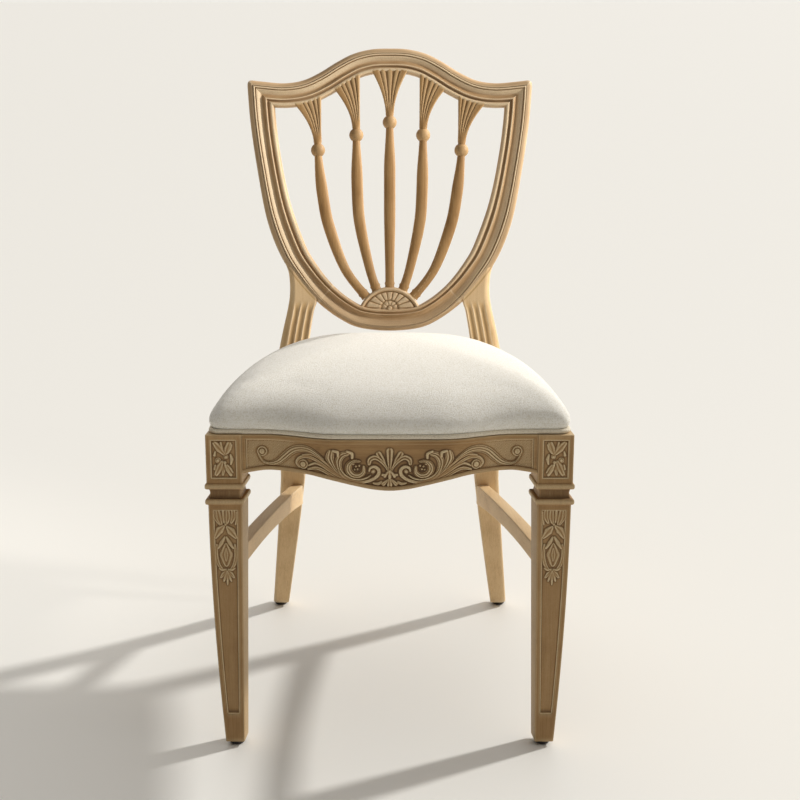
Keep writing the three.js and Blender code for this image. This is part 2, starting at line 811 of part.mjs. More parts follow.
// One cross-section of a rib: fluted in front where it is part of the head, rounded where it is rod.
function ribSection(left, right, headShare) {
  const frontShares = steps(8);
  const backShares = [0.82, 0.5, 0.18];
  const middle = ribMidDepth;
  const front = frontShares.map((share, i) => {
    const round = middle - (rodDepth / 2) * Math.sqrt(Math.sin(Math.PI * share));
    const fluted = ribHeadFront + (i % 2 ? ribFluteDepth : 0) + 2 * ribFluteDepth * (2 * share - 1) ** 4;
    return [lerp(left, right, share), lerp(round, fluted, headShare)];
  });
  const back = backShares.map((share) => {
    const round = middle + (rodDepth / 2) * Math.sqrt(Math.sin(Math.PI * share));
    return [lerp(left, right, share), lerp(round, ribHeadBack, headShare)];
  });
  return [...front, ...back];
}

// Height up the back at a share of the ear's rise
const upAt = (share) => shieldFoot + share * earRise;

function ribBody(rib) {
  const curve = ribAxis(rib);
  const neck = upAt(rib.shape.neck);
  const ball = upAt(rib.shape.ball);
  const head = curve.getPoint(0).y;
  const foot = curve.getPoint(1).y;
  const shares = [...steps(5).map((share) => share * 0.3), ...steps(9).map((share) => lerp(0.34, 1, share))];
  const rings = shares.map((at) => {
    const point = curve.getPoint(at);
    const along = curve.getTangent(at).normalize();
    const across = new THREE.Vector2(-along.y, along.x);
    if (across.x < 0) across.negate();
    const flare = THREE.MathUtils.clamp((point.y - neck) / (head - neck), 0, 1);
    const below = THREE.MathUtils.clamp((ball - point.y) / (ball - foot), 0, 1);
    const half = flare > 0 ? headHalfWidth : rodHalf(below);
    const spread = flare ** flarePower;
    const toLeft = half + spread * (rib.side > 0 ? rib.inward : rib.outward);
    const toRight = half + spread * (rib.side > 0 ? rib.outward : rib.inward);
    const headShare = THREE.MathUtils.smoothstep(flare, 0, 0.35);
    return ribSection(-toLeft, toRight, headShare).map(([offset, depth]) => {
      const spot = point.clone().addScaledVector(across, offset);
      return onBack(spot.x, spot.y, depth);
    });
  });
  return { body: loft(rings), curve };
}

// Where the axis of a rib crosses a height
function axisAt(curve, up) {
  const at = least(steps(200), (share) => Math.abs(curve.getPoint(share).y - up));
  return { point: curve.getPoint(at), along: curve.getTangent(at).normalize() };
}

function ribTenon(rib, grow) {
  const curve = ribAxis(rib);
  const edge = innerEdgeAbove(curve.getPoint(0).x + rib.side * ribTenonSide(rib));
  const start = new THREE.Vector2(edge.x, edge.y - ribTenonLength);
  const up = new THREE.Vector2(0, 1);
  const near = ribMidDepth - ribTenonThickness / 2 + shieldTenonSet;
  return backBlock(start, up, 2 * ribTenonLength, ribTenonWidth, near, near + ribTenonThickness, grow);
}

// The tenon of a one-sided head stands towards the middle of the head.
const ribTenonSide = (rib) => (rib.outward - rib.inward) / 4;

// The inner edge of the crest above a place across the shield
function innerEdgeAbove(across) {
  const frames = outlineFrames(crestCurve, 0.1, 0.9, 120);
  const edge = frames.map(({ point, normal, width }) => point.clone().addScaledVector(normal, width));
  return least(edge, (spot) => Math.abs(spot.x - across));
}

const fanCentre = new THREE.Vector2(0, shieldFoot + fanCentreRise);
const fanHub = new THREE.Vector2(0, shieldFoot + fanHubRise);

// Round body behind the fan's rim, grown by a gap, that trims the feet of the ribs
function fanRoom(gap) {
  return loft(
    [-overrun, shieldThickness + overrun].map((depth) =>
      steps(48)
        .slice(1)
        .map((share) => {
          const angle = 2 * Math.PI * share;
          const reach = fanRadius + gap;
          return onBack(
            fanCentre.x + reach * Math.cos(angle),
            fanCentre.y + reach * Math.sin(angle),
            depth,
          );
        }),
    ),
  );
}

function ribFootTenon(rib, grow) {
  const curve = ribAxis(rib);
  const { point, along } = axisAt(curve, fanTop(curve));
  const start = point.clone().addScaledVector(along, -ribTenonLength);
  const near = ribMidDepth - ribTenonThickness / 2;
  return backBlock(start, along, 2 * ribTenonLength, ribTenonWidth, near, near + ribTenonThickness, grow);
}

// Height at which the axis of a rib meets the rim of the fan
function fanTop(curve) {
  const at = least(steps(200), (share) => Math.abs(curve.getPoint(share).distanceTo(fanCentre) - fanRadius));
  return curve.getPoint(at).y;
}

const hasFootTenon = (rib) => rib.shape !== ribShares.outer;

function ribPiece(rib) {
  const { body, curve } = ribBody(rib);
  const { point } = axisAt(curve, upAt(rib.shape.ball));
  const centre = onBack(point.x, point.y, ribMidDepth);
  const ball = solidOf(new THREE.SphereGeometry(ballRadius, 12, 8).translate(centre.x, centre.y, centre.z));
  const crestBand = sweep(crestFrames(), bandProfile(-1, 1), fit);
  let whole = body.add(ball).subtract(crestBand).subtract(fanRoom(fit)).subtract(lowerRailBand(fit));
  whole = whole.add(ribTenon(rib, 0));
  return hasFootTenon(rib) ? whole.add(ribFootTenon(rib, 0)) : whole;
}

const fanRimShares = [0.7, 0.3];

// Fan rosette: lobes that spread from a half-round hub inside a raised rim
function fanRosette() {
  const spokes = steps(fanLobes * 4).slice(1);
  const reachOf = (angle) => {
    const rise = fanHub.y - fanCentre.y;
    const run = rise * Math.sin(angle);
    return Math.sqrt(run ** 2 + fanRadius ** 2 - rise ** 2) - run;
  };
  const spot = (angle, radius, depth) =>
    onBack(fanHub.x + radius * Math.cos(angle), fanHub.y + radius * Math.sin(angle), depth);
  const ring = (radiusOf, depthOf) =>
    spokes.map((share, i) => {
      const angle = 2 * Math.PI * share;
      return spot(angle, radiusOf(reachOf(angle)), depthOf(i));
    });
  const valley = (i) => (i % 2 ? fanLobeDepth : 0);
  const rings = [
    ring(() => fanHubRadius / 2, () => fanFront - fanSoften),
    ring(() => fanHubRadius, () => fanFront + fanLobeDepth),
    ring(() => fanHubRadius + fanSoften, (i) => fanFront + valley(i) / 2 + fanSoften),
    ring((reach) => reach - fanRimWidth - fanSoften, (i) => fanFront + valley(i)),
    ring((reach) => reach - fanRimWidth, () => fanFront + fanLobeDepth),
    ring((reach) => reach - fanRimWidth * fanRimShares[0], () => fanFront - fanSoften),
    ring((reach) => reach - fanRimWidth * fanRimShares[1], () => fanFront - fanSoften),
    ring((reach) => reach, () => fanFront + 2 * fanSoften),
    ring((reach) => reach, () => fanBack),
  ];
  let fan = loft(rings).subtract(sweep(outlineFrames(flankCurve, 0.15, 0.85, 40), bandProfile(-2, 1), fit));
  ribs.filter(hasFootTenon).forEach((rib) => {
    fan = fan.subtract(ribFootTenon(rib, fit));
  });
  return fan;
}

// Front rail, lofted from side to side. Its lower edge is given from the middle to the leg,
// in shares of half the rail's length and of the drop from the narrow waist to the middle.
const lowerEdgeShares = [
  [0, 1],
  [0.12, 0.9],
  [0.25, 0.64],
  [0.385, 0.33],
  [0.52, 0.09],
  [0.63, 0.03],
  [0.74, 0],
  [0.84, 0.02],
];
const halfRail = frontWidth / 2 - blockWidth;
const bracketShares = [
  [0.93, 0.5],
  [1, 1],
];

function frontRailFoot(x) {
  const edge = lowerEdgeShares.map(([across, drop]) => [
    across * halfRail,
    frontRailNarrow + drop * (frontRailDrop - frontRailNarrow),
  ]);
  const bracket = bracketShares.map(([across, drop]) => [
    across * halfRail,
    frontRailNarrow + drop * (frontRailBracket - frontRailNarrow),
  ]);
  const all = [...edge, ...bracket];
  const far = Math.min(Math.abs(x), halfRail);
  const next = Math.max(1, all.findIndex(([across]) => across >= far));
  const [[x0, drop0], [x1, drop1]] = [all[next - 1], all[next]];
  return railTop - lerp(drop0, drop1, (far - x0) / (x1 - x0));
}

function frontRail() {
  const half = steps(14).map((share) => share * (halfRail - 2 * railBorder));
  const marks = [...half, halfRail - 1.5 * railBorder, halfRail - railBorder, halfRail].map((x) => [
    x,
    x > halfRail - 1.8 * railBorder ? 0 : railGround,
  ]);
  const stations = [...marks.slice(1).reverse().map(([x, ground]) => [-x, ground]), ...marks];
  const rings = stations.map(([x, ground]) => {
    const face = frontFace(x);
    const foot = frontRailFoot(x);
    const section = [
      [face, railTop - railArris],
      [face, railTop - railBorder],
      [face + ground, railTop - railBorder - railGround],
      [face + ground, foot + railBorder + railGround],
      [face, foot + railBorder],
      [face, foot + railArris],
      [face + railArris, foot],
      [frontInner(x), foot],
      [frontInner(x), railTop],
      [face + railArris, railTop],
    ];
    const end = Math.abs(x) >= halfRail;
    return section.map(([y, z]) => {
      const across = end ? Math.sign(x) * (legBlockInner(y) - fit) : x;
      return new THREE.Vector3(across, y, z);
    });
  });
  let rail = loft(rings);
  sides.forEach(([name, side]) => {
    rail = rail.add(frontRailTenon(side, tenon)).subtract(blockScrewHole(name, "front", "rail"));
  });
  return rail;
}

const tenonTop = railTop - tenonDrop;

// Tenons of the rails, made by box for the rail and by socket for the mortise
function frontRailTenon(side, make) {
  const y = frontRailSet + (frontRailThickness - tenonThickness) / 2;
  return make(
    [side * (halfRail - overrun), y, tenonTop - tenonHeight],
    [side * (halfRail + tenonLength), y + tenonThickness, tenonTop],
  );
}

function sideRailFrontTenon(side, make) {
  const middle = sideInner(blockDepth) + sideRailThickness / 2;
  return make(
    [side * (middle - tenonThickness / 2), blockDepth - tenonLength, tenonTop - tenonHeight],
    [side * (middle + tenonThickness / 2), blockDepth + overrun, tenonTop],
  );
}

function sideRailRearTenon(side, make) {
  const middle = sideInner(seatDepth) + sideRailThickness / 2;
  return make(
    [side * (middle - tenonThickness / 2), seatDepth - overrun, tenonTop - tenonHeight],
    [side * (middle + tenonThickness / 2), seatDepth + tenonLength, tenonTop],
  );
}

function backRailTenon(side, make) {
  const y = seatDepth + backRailSet + (backRailThickness - tenonThickness) / 2;
  return make(
    [side * (postInner - overrun), y, tenonTop - tenonHeight],
    [side * (postInner + tenonLength), y + tenonThickness, tenonTop],
  );
}

function sideRail(name, side) {
  const levels = steps(10).map((share) => lerp(blockDepth + fit, seatDepth - fit, share));
  const rings = levels.map((y) => {
    const outer = sideOuter(y) - sideRailSet;
    const section = [
      [outer, railTop - railArris],
      [outer, railTop - sideRailHeight + railArris],
      [outer - railArris, railTop - sideRailHeight],
      [sideInner(y), railTop - sideRailHeight],
      [sideInner(y), railTop],
      [outer - railArris, railTop],
    ];
    return section.map(([x, z]) => new THREE.Vector3(side * x, y, z));
  });
  let rail = loft(rings).add(sideRailFrontTenon(side, tenon)).add(sideRailRearTenon(side, tenon));
  ["front", "rear"].forEach((end) => {
    rail = rail.subtract(blockScrewHole(name, end, "side"));
  });
  return rail;
}

function backRail() {
  const end = postInner - fit;
  const near = seatDepth + backRailSet;
  let rail = box([-end, near, railTop - backRailHeight], [end, near + backRailThickness, railTop]);
  sides.forEach(([name, side]) => {
    rail = rail.add(backRailTenon(side, tenon)).subtract(blockScrewHole(name, "rear", "rail"));
  });
  return rail;
}

// Side stretchers rise towards the front and are arched a little, more below than above.
const stretcherFrontY = (z) => shaftBack(z) + fit;
const stretcherRearY = (z) => rearLegFront(z) - fit;
const stretcherInnerFront = () => shaftInner(stretcherFrontTop) - legShear * legTopDepth + stretcherInset;
const stretcherInnerRear = () => rearLegInner(stretcherRearTop - stretcherRearHeight / 2) + fit;
const stretcherTop = (share) =>
  lerp(stretcherFrontTop, stretcherRearTop, share) + 4 * stretcherTopArch * share * (1 - share);
const stretcherFoot = (share) =>
  lerp(stretcherFrontTop - stretcherFrontHeight, stretcherRearTop - stretcherRearHeight, share) +
  4 * stretcherUnderArch * share * (1 - share);

function stretcher(side) {
  const rings = steps(12).map((share) => {
    const inner = lerp(stretcherInnerFront(), stretcherInnerRear(), share);
    const outer = inner + stretcherThickness;
    const top = stretcherTop(share);
    const foot = stretcherFoot(share);
    const section = [
      [inner + stretcherArris, top],
      [outer - stretcherArris, top],
      [outer, top - stretcherArris],
      [outer, foot + stretcherArris],
      [outer - stretcherArris, foot],
      [inner + stretcherArris, foot],
      [inner, foot + stretcherArris],
      [inner, top - stretcherArris],
    ];
    const depthAt = (z) => lerp(stretcherFrontY(z), stretcherRearY(z), share);
    return section.map(([x, z]) => new THREE.Vector3(side * x, depthAt(z), z));
  });
  return loft(rings).add(stretcherFrontTenon(side, tenon)).add(stretcherRearTenon(side, tenon));
}

function stretcherTenonBox(side, make, inner, top, height, from, to) {
  const middle = inner + stretcherThickness / 2;
  const margin = height / 4;
  return make(
    [side * (middle - tenonThickness / 2), from, top - height + margin],
    [side * (middle + tenonThickness / 2), to, top - margin],
  );
}

function stretcherFrontTenon(side, make) {
  const back = shaftBack(stretcherFrontTop);
  const inner = stretcherInnerFront();
  const height = stretcherFrontHeight;
  const [near, far] = [back - stretcherTenon, back + overrun];
  return stretcherTenonBox(side, make, inner, stretcherFrontTop, height, near, far);
}

function stretcherRearTenon(side, make) {
  const front = rearLegFront(stretcherRearTop);
  const inner = stretcherInnerRear();
  const height = stretcherRearHeight;
  const [near, far] = [front - overrun, front + stretcherTenon];
  return stretcherTenonBox(side, make, inner, stretcherRearTop, height, near, far);
}

// Corner blocks fill the inner corners of the seat frame. Plans are for the right side.
const cornerBlockTop = railTop - cornerBlockDrop;
const cornerBlockFoot = cornerBlockTop - cornerBlockHeight;

function frontBlockPlan() {
  const legInner = legBlockInner(blockDepth) - fit;
  const railEnd = halfRail - frontBlockRailReach;
  const sideEnd = blockDepth + frontBlockSideReach;
  return [
    [legBlockInner(frontInner(halfRail)) - fit, frontInner(halfRail) + fit],
    [legInner, blockDepth + fit],
    [sideInner(blockDepth + fit) - fit, blockDepth + fit],
    [sideInner(sideEnd) - fit, sideEnd],
    [railEnd, frontInner(halfRail) + fit],
  ];
}

function rearBlockPlan() {
  const postSide = postInner - fit;
  const railNear = seatDepth + backRailSet - fit;
  const postNear = seatDepth - fit;
  const sideEnd = seatDepth - rearBlockSideReach;
  return [
    [postSide, railNear],
    [postSide - rearBlockRailReach, railNear],
    [sideInner(sideEnd) - fit, sideEnd],
    [sideInner(postNear) - fit, postNear],
    [postSide, postNear],
  ];
}

// Screws of a corner block: one up into the seat board, one into each rail. Places are for the right side.
const frontSideScrewY = blockDepth + frontSideScrewBehind;
const rearSideScrewY = seatDepth - rearSideScrewBefore;
const cornerScrews = {
  front: {
    seat: [halfRail - frontSeatScrewAside, blockDepth + frontSeatScrewBehind],
    rail: { head: [halfRail - frontRailScrewAside, frontInner(halfRail) + frontRailScrewOff], aim: [0, -1] },
    side: { head: [sideInner(frontSideScrewY) - frontSideScrewOff, frontSideScrewY], aim: [1, 0] },
  },
  rear: {
    seat: [postInner + rearSeatScrewAside, seatDepth - rearSeatScrewBefore],
    rail: {
      head: [postInner - rearRailScrewAside, seatDepth + backRailSet - rearRailScrewOff],
      aim: [0, 1],
    },
    side: { head: [sideInner(rearSideScrewY) - rearSideScrewOff, rearSideScrewY], aim: [1, 0] },
  },
};
const screwLevel = (cornerBlockTop + cornerBlockFoot) / 2;
const screwProfile = (length, grow) => [
  [0, -screwHeadHeight - grow],
  [screwHeadRadius + grow, -screwHeadHeight - grow],
  [screwHeadRadius + grow, 0],
  [screwRadius + grow, 0],
  [screwRadius + grow, length + grow],
  [0, length + grow],
];

// Head recesses are cut through to the open face of the block.
const recessProfile = (length) => {
  const profile = screwProfile(length, fit);
  profile[0] = [0, -4 * overrun];
  profile[1] = [screwHeadRadius + fit, -4 * overrun];
  return profile;
};

function blockScrewLength(end, into) {
  const [x, y] = cornerScrews[end][into].head;
  if (into === "side") return sideInner(y) - x + blockScrewGrip;
  const railFace = end === "front" ? y - frontInner(halfRail) : seatDepth + backRailSet - y;
  return railFace + blockScrewGrip;
}

function blockScrewBody(name, end, into, profile) {
  const side = name === "left" ? -1 : 1;
  const { head, aim } = cornerScrews[end][into];
  const at = new THREE.Vector3(side * head[0], head[1], screwLevel);
  const direction = new THREE.Vector3(side * aim[0], aim[1], 0);
  return turned(profile, at, direction, 8);
}

function blockScrewHole(name, end, into) {
  return blockScrewBody(name, end, into, recessProfile(blockScrewLength(end, into)));
}

function seatScrewBody(name, end, profile) {
  const side = name === "left" ? -1 : 1;
  const [x, y] = cornerScrews[end].seat;
  return turned(profile, new THREE.Vector3(side * x, y, cornerBlockFoot - fit), upward, 8);
}

const seatScrewLength = railTop + fit + screwGrip - cornerBlockFoot;

function cornerBlock(name, side, end) {
  const plan = (end === "front" ? frontBlockPlan() : rearBlockPlan()).map(([x, y]) => [side * x, y]);
  let block = prism(plan, cornerBlockFoot, cornerBlockTop);
  ["rail", "side"].forEach((into) => {
    block = block.subtract(blockScrewHole(name, end, into));
  });
  return block.subtract(seatScrewBody(name, end, recessProfile(seatScrewLength)));
}

// Plan outline of the seat pad: bowed front, rounded corners, curved sides and a straight back edge
const padRear = seatDepth + backRailSet + backRailThickness - padRearGap;

function padOutline(inset) {
  const corner = padCornerRadius;
  const side = (y) => sideLine(y, padBow) - padSet;
  const frontEnd = side(corner) - corner;
  const rearEnd = side(padRear - corner) - corner;
  const front = steps(11).map((share) => lerp(0, frontEnd, share)).map((x) => [x, frontFace(x)]);
  const arc = (x, y, from) =>
    [1 / 3, 2 / 3].map((share) => {
      const angle = from + (share * Math.PI) / 2;
      return [x + corner * Math.cos(angle), y + corner * Math.sin(angle)];
    });
  const flank = steps(6)
    .map((share) => lerp(corner + frontRailSet, padRear - corner, share))
    .map((y) => [side(y), y]);
  const rear = steps(3).map((share) => [lerp(rearEnd, 0, share), padRear]);
  const half = [
    ...front,
    ...arc(frontEnd, corner + frontRailSet, -Math.PI / 2),
    ...flank,
    ...arc(rearEnd, padRear - corner, 0),
    ...rear,
  ];
  const left = half
    .slice(1, -1)
    .reverse()
    .map(([x, y]) => [-x, y]);
  return insetOutline([...half, ...left].map(([x, y]) => new THREE.Vector2(x, y)), inset);
}

// Moves each point of a closed outline inward along its normal.
function insetOutline(points, inset) {
  return points.map((point, i) => {
    const before = points.at(i - 1);
    const after = points[(i + 1) % points.length];
    const along = after.clone().sub(before).normalize();
    return point.clone().add(new THREE.Vector2(-along.y, along.x).multiplyScalar(inset));
  });
}

// Side wall of the pad: it is tucked in behind the welt, then stands out. Rings above the welt are in
// shares of what is left of its height and of the tuck; those of the crown are in shares of the outline.
const wallRings = [
  [0.12, 0.25],
  [0.4, 0],
  [0.78, 0.1],
];
const crownShares = [0.97, 0.93, 0.86, 0.72, 0.5, 0.25, 0.02];
const hiddenCrownShares = [0.96, 0.86, 0.5, 0.02];
const padFoot = railTop + 2 * fit;
const padWall = (y) => {
  const share = THREE.MathUtils.clamp(y / padRear, 0, 1);
  return padWallHeight * (1 - padRearDropShare * share ** 2);
};
const tuckHeight = (wall) => Math.min(2 * weltRadius + fit, 0.7 * wall);
const crownRise = (share) => padCrown * (1 - share ** 2) ** 0.92;

// The pad's form, made smaller by an inset all over, from a given foot
function padForm(inset, foot) {
  const place = (plan, scale, heightOf) =>
    plan.map((point) => {
      const y = lerp(padCrownCentre, point.y, scale);
      return new THREE.Vector3(point.x * scale, y, heightOf(y));
    });
  const tucked = padOutline(inset + weltTuck);
  const wall = wallRings.map(([share, tuck]) =>
    place(padOutline(inset + weltTuck * tuck), 1, (y) => {
      const height = padWall(y);
      return padFoot + lerp(tuckHeight(height), height, share) - inset * share;
    }),
  );
  const rim = padOutline(inset);
  const crown = (inset ? hiddenCrownShares : crownShares).map((share) =>
    place(rim, share, (y) => padFoot + padWall(y) + crownRise(share) - inset),
  );
  return loft([
    place(tucked, 1, () => foot),
    place(tucked, 1, (y) => padFoot + tuckHeight(padWall(y)) - inset / 2),
    ...wall,
    ...crown,
  ]);
}

// Room round both back posts that the pad keeps clear, in shares of the post's width from its centre
const notchShare = 0.65;

function postRoom(gap) {
  const inner = postCentre - postWidth * notchShare - gap;
  const room = ([, side]) => {
    const low = [side > 0 ? inner : -rearWidth, seatDepth - gap, railTop - overrun];
    const high = [side > 0 ? rearWidth : -inner, seatDepth + 3 * postDepth, railTop + 3 * padCrown];
    return box(low, high);
  };
  return room(sides[0]).add(room(sides[1]));
}

const boardTop = railTop + fit + boardThickness;

function seatBoard() {
  const plan = padOutline(boardInset).map((point) => [point.x, point.y]);
  let board = prism(plan, railTop + fit, boardTop).subtract(postRoom(postNotchGap + coverWall + fit));
  sides.forEach(([name]) => {
    ["front", "rear"].forEach((end) => {
      board = board.subtract(seatScrewBody(name, end, screwProfile(seatScrewLength, fit)));
    });
  });
  return board;
}

function seatFoam() {
  const room = postRoom(postNotchGap + coverWall + fit);
  const foam = padForm(coverWall + 3 * fit, railTop - overrun).subtract(room);
  return foam.subtract(box([-frontWidth, -frontWidth, 0], [frontWidth, 2 * frontWidth, boardTop + fit]));
}

function seatCover() {
  const outside = padForm(0, padFoot).subtract(postRoom(postNotchGap));
  const inside = padForm(coverWall, padFoot - overrun).subtract(postRoom(postNotchGap + coverWall));
  return outside.subtract(inside);
}

// The welt runs round the foot of the pad from one back post to the other.
function seatWelt() {
  const outline = padOutline(weltTuck - weltRadius - fit);
  const count = outline.findIndex((point) => point.y > seatDepth) + 1;
  const path = [...outline.slice(-count + 1), ...outline.slice(0, count)];
  const height = railTop + fit + weltRadius + fit;
  const spokes = steps(8).slice(1);
  const ends = box(
    [-frontWidth, seatDepth - weltEndGap, 0],
    [frontWidth, 2 * seatDepth, 2 * railTop],
  );
  const cord = loft(
    path.map((point, i) => {
      const before = path[Math.max(0, i - 1)];
      const after = path[Math.min(path.length - 1, i + 1)];
      const along = after.clone().sub(before).normalize();
      return spokes.map((share) => {
        const angle = 2 * Math.PI * share;
        const out = weltRadius * Math.cos(angle);
        return new THREE.Vector3(
          point.x + along.y * out,
          point.y - along.x * out,
          height + weltRadius * Math.sin(angle),
        );
      });
    }),
  );
  return cord.subtract(ends);
}

// Dust cover: a thin cloth under the board, inside the rails
function dustCover() {
  const top = railTop;
  const edge = steps(12).map((share) => lerp(-halfRail, halfRail, share));
  const front = edge.map((x) => [x, frontInner(x) + dustEdge]);
  const flank = (side) =>
    steps(6).map((share) => {
      const y = lerp(blockDepth + dustEdge, seatDepth - dustEdge, share);
      return [side * (sideInner(y) - dustEdge), y];
    });
  const plan = [...front, ...flank(1), ...flank(-1).reverse()];
  let cloth = prism(plan, top - dustThickness, top);
  sides.forEach(([name, side]) => {
    const legLow = [side * (halfRail - legShear * blockDepth - dustEdge), -overrun, 0];
    cloth = cloth.subtract(tenon(legLow, [side * frontWidth, blockDepth + dustEdge, 2 * railTop]));
    ["front", "rear"].forEach((end) => {
      cloth = cloth.subtract(seatScrewBody(name, end, screwProfile(seatScrewLength, fit)));
    });
  });
  return cloth;
}

const rearFootX = (rearLegOuter(0) + rearLegInner(0)) / 2;
const rearFootY = rearLegFront(0) + rearFootDepth / 2;

sides.forEach(([name, side]) => {
  piece(name + "_front_leg", frontLeg(side), wood);
  piece(name + "_back_post", backPost(side), wood);
  piece(name + "_side_rail", sideRail(name, side), wood);
  piece(name + "_side_stretcher", stretcher(side), wood);
  piece(name + "_front_glide", glide(side * frontFootX, legFootDepth / 2), nylon);
  piece(name + "_rear_glide", glide(side * rearFootX, rearFootY), nylon);
  ["front", "rear"].forEach((end) => {
    piece(name + "_" + end + "_corner_block", cornerBlock(name, side, end), innerWood);
    const seatScrew = seatScrewBody(name, end, screwProfile(seatScrewLength, 0));
    piece(name + "_" + end + "_seat_screw", seatScrew, steel);
    ["rail", "side"].forEach((into) => {
      const screw = blockScrewBody(name, end, into, screwProfile(blockScrewLength(end, into), 0));
      piece(name + "_" + end + "_block_screw_" + into, screw, steel);
    });
  });
});
piece("front_rail", frontRail(), wood);
piece("back_rail", backRail(), wood);
piece("crest_rail", crestRail(), wood);
piece("lower_shield_rail", lowerRail(), wood);
piece("fan_rosette", fanRosette(), wood);
ribs.forEach((rib) => piece(rib.name, ribPiece(rib), wood));
piece("seat_board", seatBoard(), innerWood);
piece("seat_foam", seatFoam(), foamStuff);
piece("seat_cover", seatCover(), linen);
piece("seat_welt", seatWelt(), linen);
piece("dust_cover", dustCover(), cambric);

// The origin is the middle of the footprint of the whole chair, on the floor.
const whole = new THREE.Box3().setFromObject(chair);
chair.position.y = -(whole.min.y + whole.max.y) / 2;

export default chair;
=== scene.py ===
# Shield back dining chair: the visible pieces, their materials, the light and the camera, around the
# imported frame. Lengths are in millimetres and turn into metres where a mesh is made. Seen from the front,
# left is -X.
import math

import bmesh
import bpy
import numpy as np
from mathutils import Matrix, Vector


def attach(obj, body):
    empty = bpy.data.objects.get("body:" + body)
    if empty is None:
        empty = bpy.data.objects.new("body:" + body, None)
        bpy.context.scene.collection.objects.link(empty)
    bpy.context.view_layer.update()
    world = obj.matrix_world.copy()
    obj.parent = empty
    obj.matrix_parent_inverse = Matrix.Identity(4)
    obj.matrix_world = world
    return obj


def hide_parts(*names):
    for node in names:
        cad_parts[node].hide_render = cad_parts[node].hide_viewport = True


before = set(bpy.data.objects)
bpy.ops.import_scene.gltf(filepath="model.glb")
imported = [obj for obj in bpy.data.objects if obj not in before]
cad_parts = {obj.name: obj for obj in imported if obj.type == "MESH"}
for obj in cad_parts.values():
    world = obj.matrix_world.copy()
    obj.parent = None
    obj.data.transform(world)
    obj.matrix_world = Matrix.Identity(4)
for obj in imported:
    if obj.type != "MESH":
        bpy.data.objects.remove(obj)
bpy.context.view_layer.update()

METRE = 1000.0
originY = 274.004
sameSpot = 1e-5

# Seat frame
fit = 0.3
frontWidth = 499.2
rearWidth = 368.0
seatDepth = 458.0
sideBow = 8.0
railTop = 461.8

# Front legs
blockWidth = 48.6
blockDepth = 44.0
blockHeight = 68.0
collarHeight = 9.0
collarReach = 2.5
neckHeight = 13.0
neckInset = 2.5
neckHollow = 1.2
collarSeat = 0.2
legShaftSet = 1.6
legTopWidth = 46.5
legTopDepth = 42.0
legFootWidth = 26.0
legFootDepth = 27.0
legInnerTaper = 5.5
legArris = 1.2
legShear = 0.112
legPanelMargin = 6.0
legPanelTopGap = 7.0
legPanelFootGap = 49.8
panelDepth = 1.6
panelBead = 0.9
panelBeadHeight = 1.5
panelStep = 0.4
panelEdgeStep = 0.3
panelColumns = 61
marginColumns = 5
blockTopBand = 0.6
blockFootBand = 3.0
shaftTopBand = 2.0
carvedLegFoot = 240.0
leafFullness = 1.25
outerTaperPower = 1.9

# Back posts
postWidth = 48.0
postDepth = 36.0
rearFootInner = 18.0
rearFootOuter = 44.6
kneeInner = -16.6
kneeOuter = 23.8
rearFootDepth = 26.0
rearFootRake = 55.0
rakeHeight = 400.0
splayHeight = 250.0
splayPower = 1.1
postArris = 1.6
arrisPoints = 5
rearLegBevel = 6.0
squareRise = 16.0
squareRing = 14.0
postSeamGap = 0.1
postBevel = 12.0
postTopBevel = 7.6
postBevelDepth = 10.0
postTopBevelDepth = 8.4
postBackSet = 3.0
postTopSink = 11.0
postSeamDepth = 6.0
postFaceDepth = 2.0
postFaceColumns = 49
fluteCount = 3
fluteDepth = 1.7
postTopDepth = 24.0
postFrontSet = 2.0
shoulderRise = 150.0

# Glides: how far in from the rim and how high the points of the rounded edge lie
glideRadius = 11.0
glideHeight = 5.8
glideEdge = ((3.2, 0), (1.6, 0.5), (0.4, 1.6), (0, 2.8))
glideTopEdge = 0.8
glideTopInset = 0.4
glideDimple = 0.6
glideNailRadius = 1.8
glideNailLength = 12.0
glideNailPoint = 1.0
glideNailTip = 0.3
glidePoints = 48

# Rails and stretchers
frontRailThickness = 24.0
frontRailSet = 3.0
frontRailBow = 27.0
bowPlateau = 67.0
bowReach = 175.0
frontRailDrop = 71.0
frontRailNarrow = 49.5
frontRailBracket = 55.5
railBorder = 6.0
railGround = 2.0
railArris = 1.0
railNick = 0.3
railBackNick = 0.2
railTopMargin = 2.2
railBead = 1.1
railLine = 0.9
railBorderStep = 0.5
railEndsFrom = 118.0
railEndsTo = 140.0
railPlainFrom = 436.0
railPlainTo = 450.0
railRound = 1.5
sideRailHeight = 60.0
sideRailThickness = 22.0
sideRailSet = 2.0
backRailHeight = 55.0
backRailThickness = 22.0
backRailSet = 6.0
stretcherThickness = 20.0
stretcherRearHeight = 35.0
stretcherFrontHeight = 26.5
stretcherRearTop = 237.8
stretcherFrontTop = 290.8
stretcherTopArch = 4.5
stretcherUnderArch = 9.0
stretcherArris = 2.0
stretcherInset = 3.3

# Seat
padBow = 12.5
padSet = 2.5
padWallHeight = 40.0
padRearDropShare = 0.8
padCrown = 45.0
padCrownPower = 0.86
padRoll = 38.0
padRollSpan = 235.0
padRollFoot = 0.3
padSwell = 1.4
padOver = 3.5
padEvening = 0.8
padCrownCentre = 290.0
padCornerRadius = 16.0
padRearGap = 1.0
clothGrid = 6.0
clothHold = 9.0
clothFrames = 20
weltRadius = 3.2
weltTuck = 7.0
weltEndGap = 5.0
weltPoints = 16
dustEdge = 1.5
dustDrop = 0.5
dustSag = 5.5
dustLegGap = 8.0
dustThickness = 0.5
dustPoints = 40

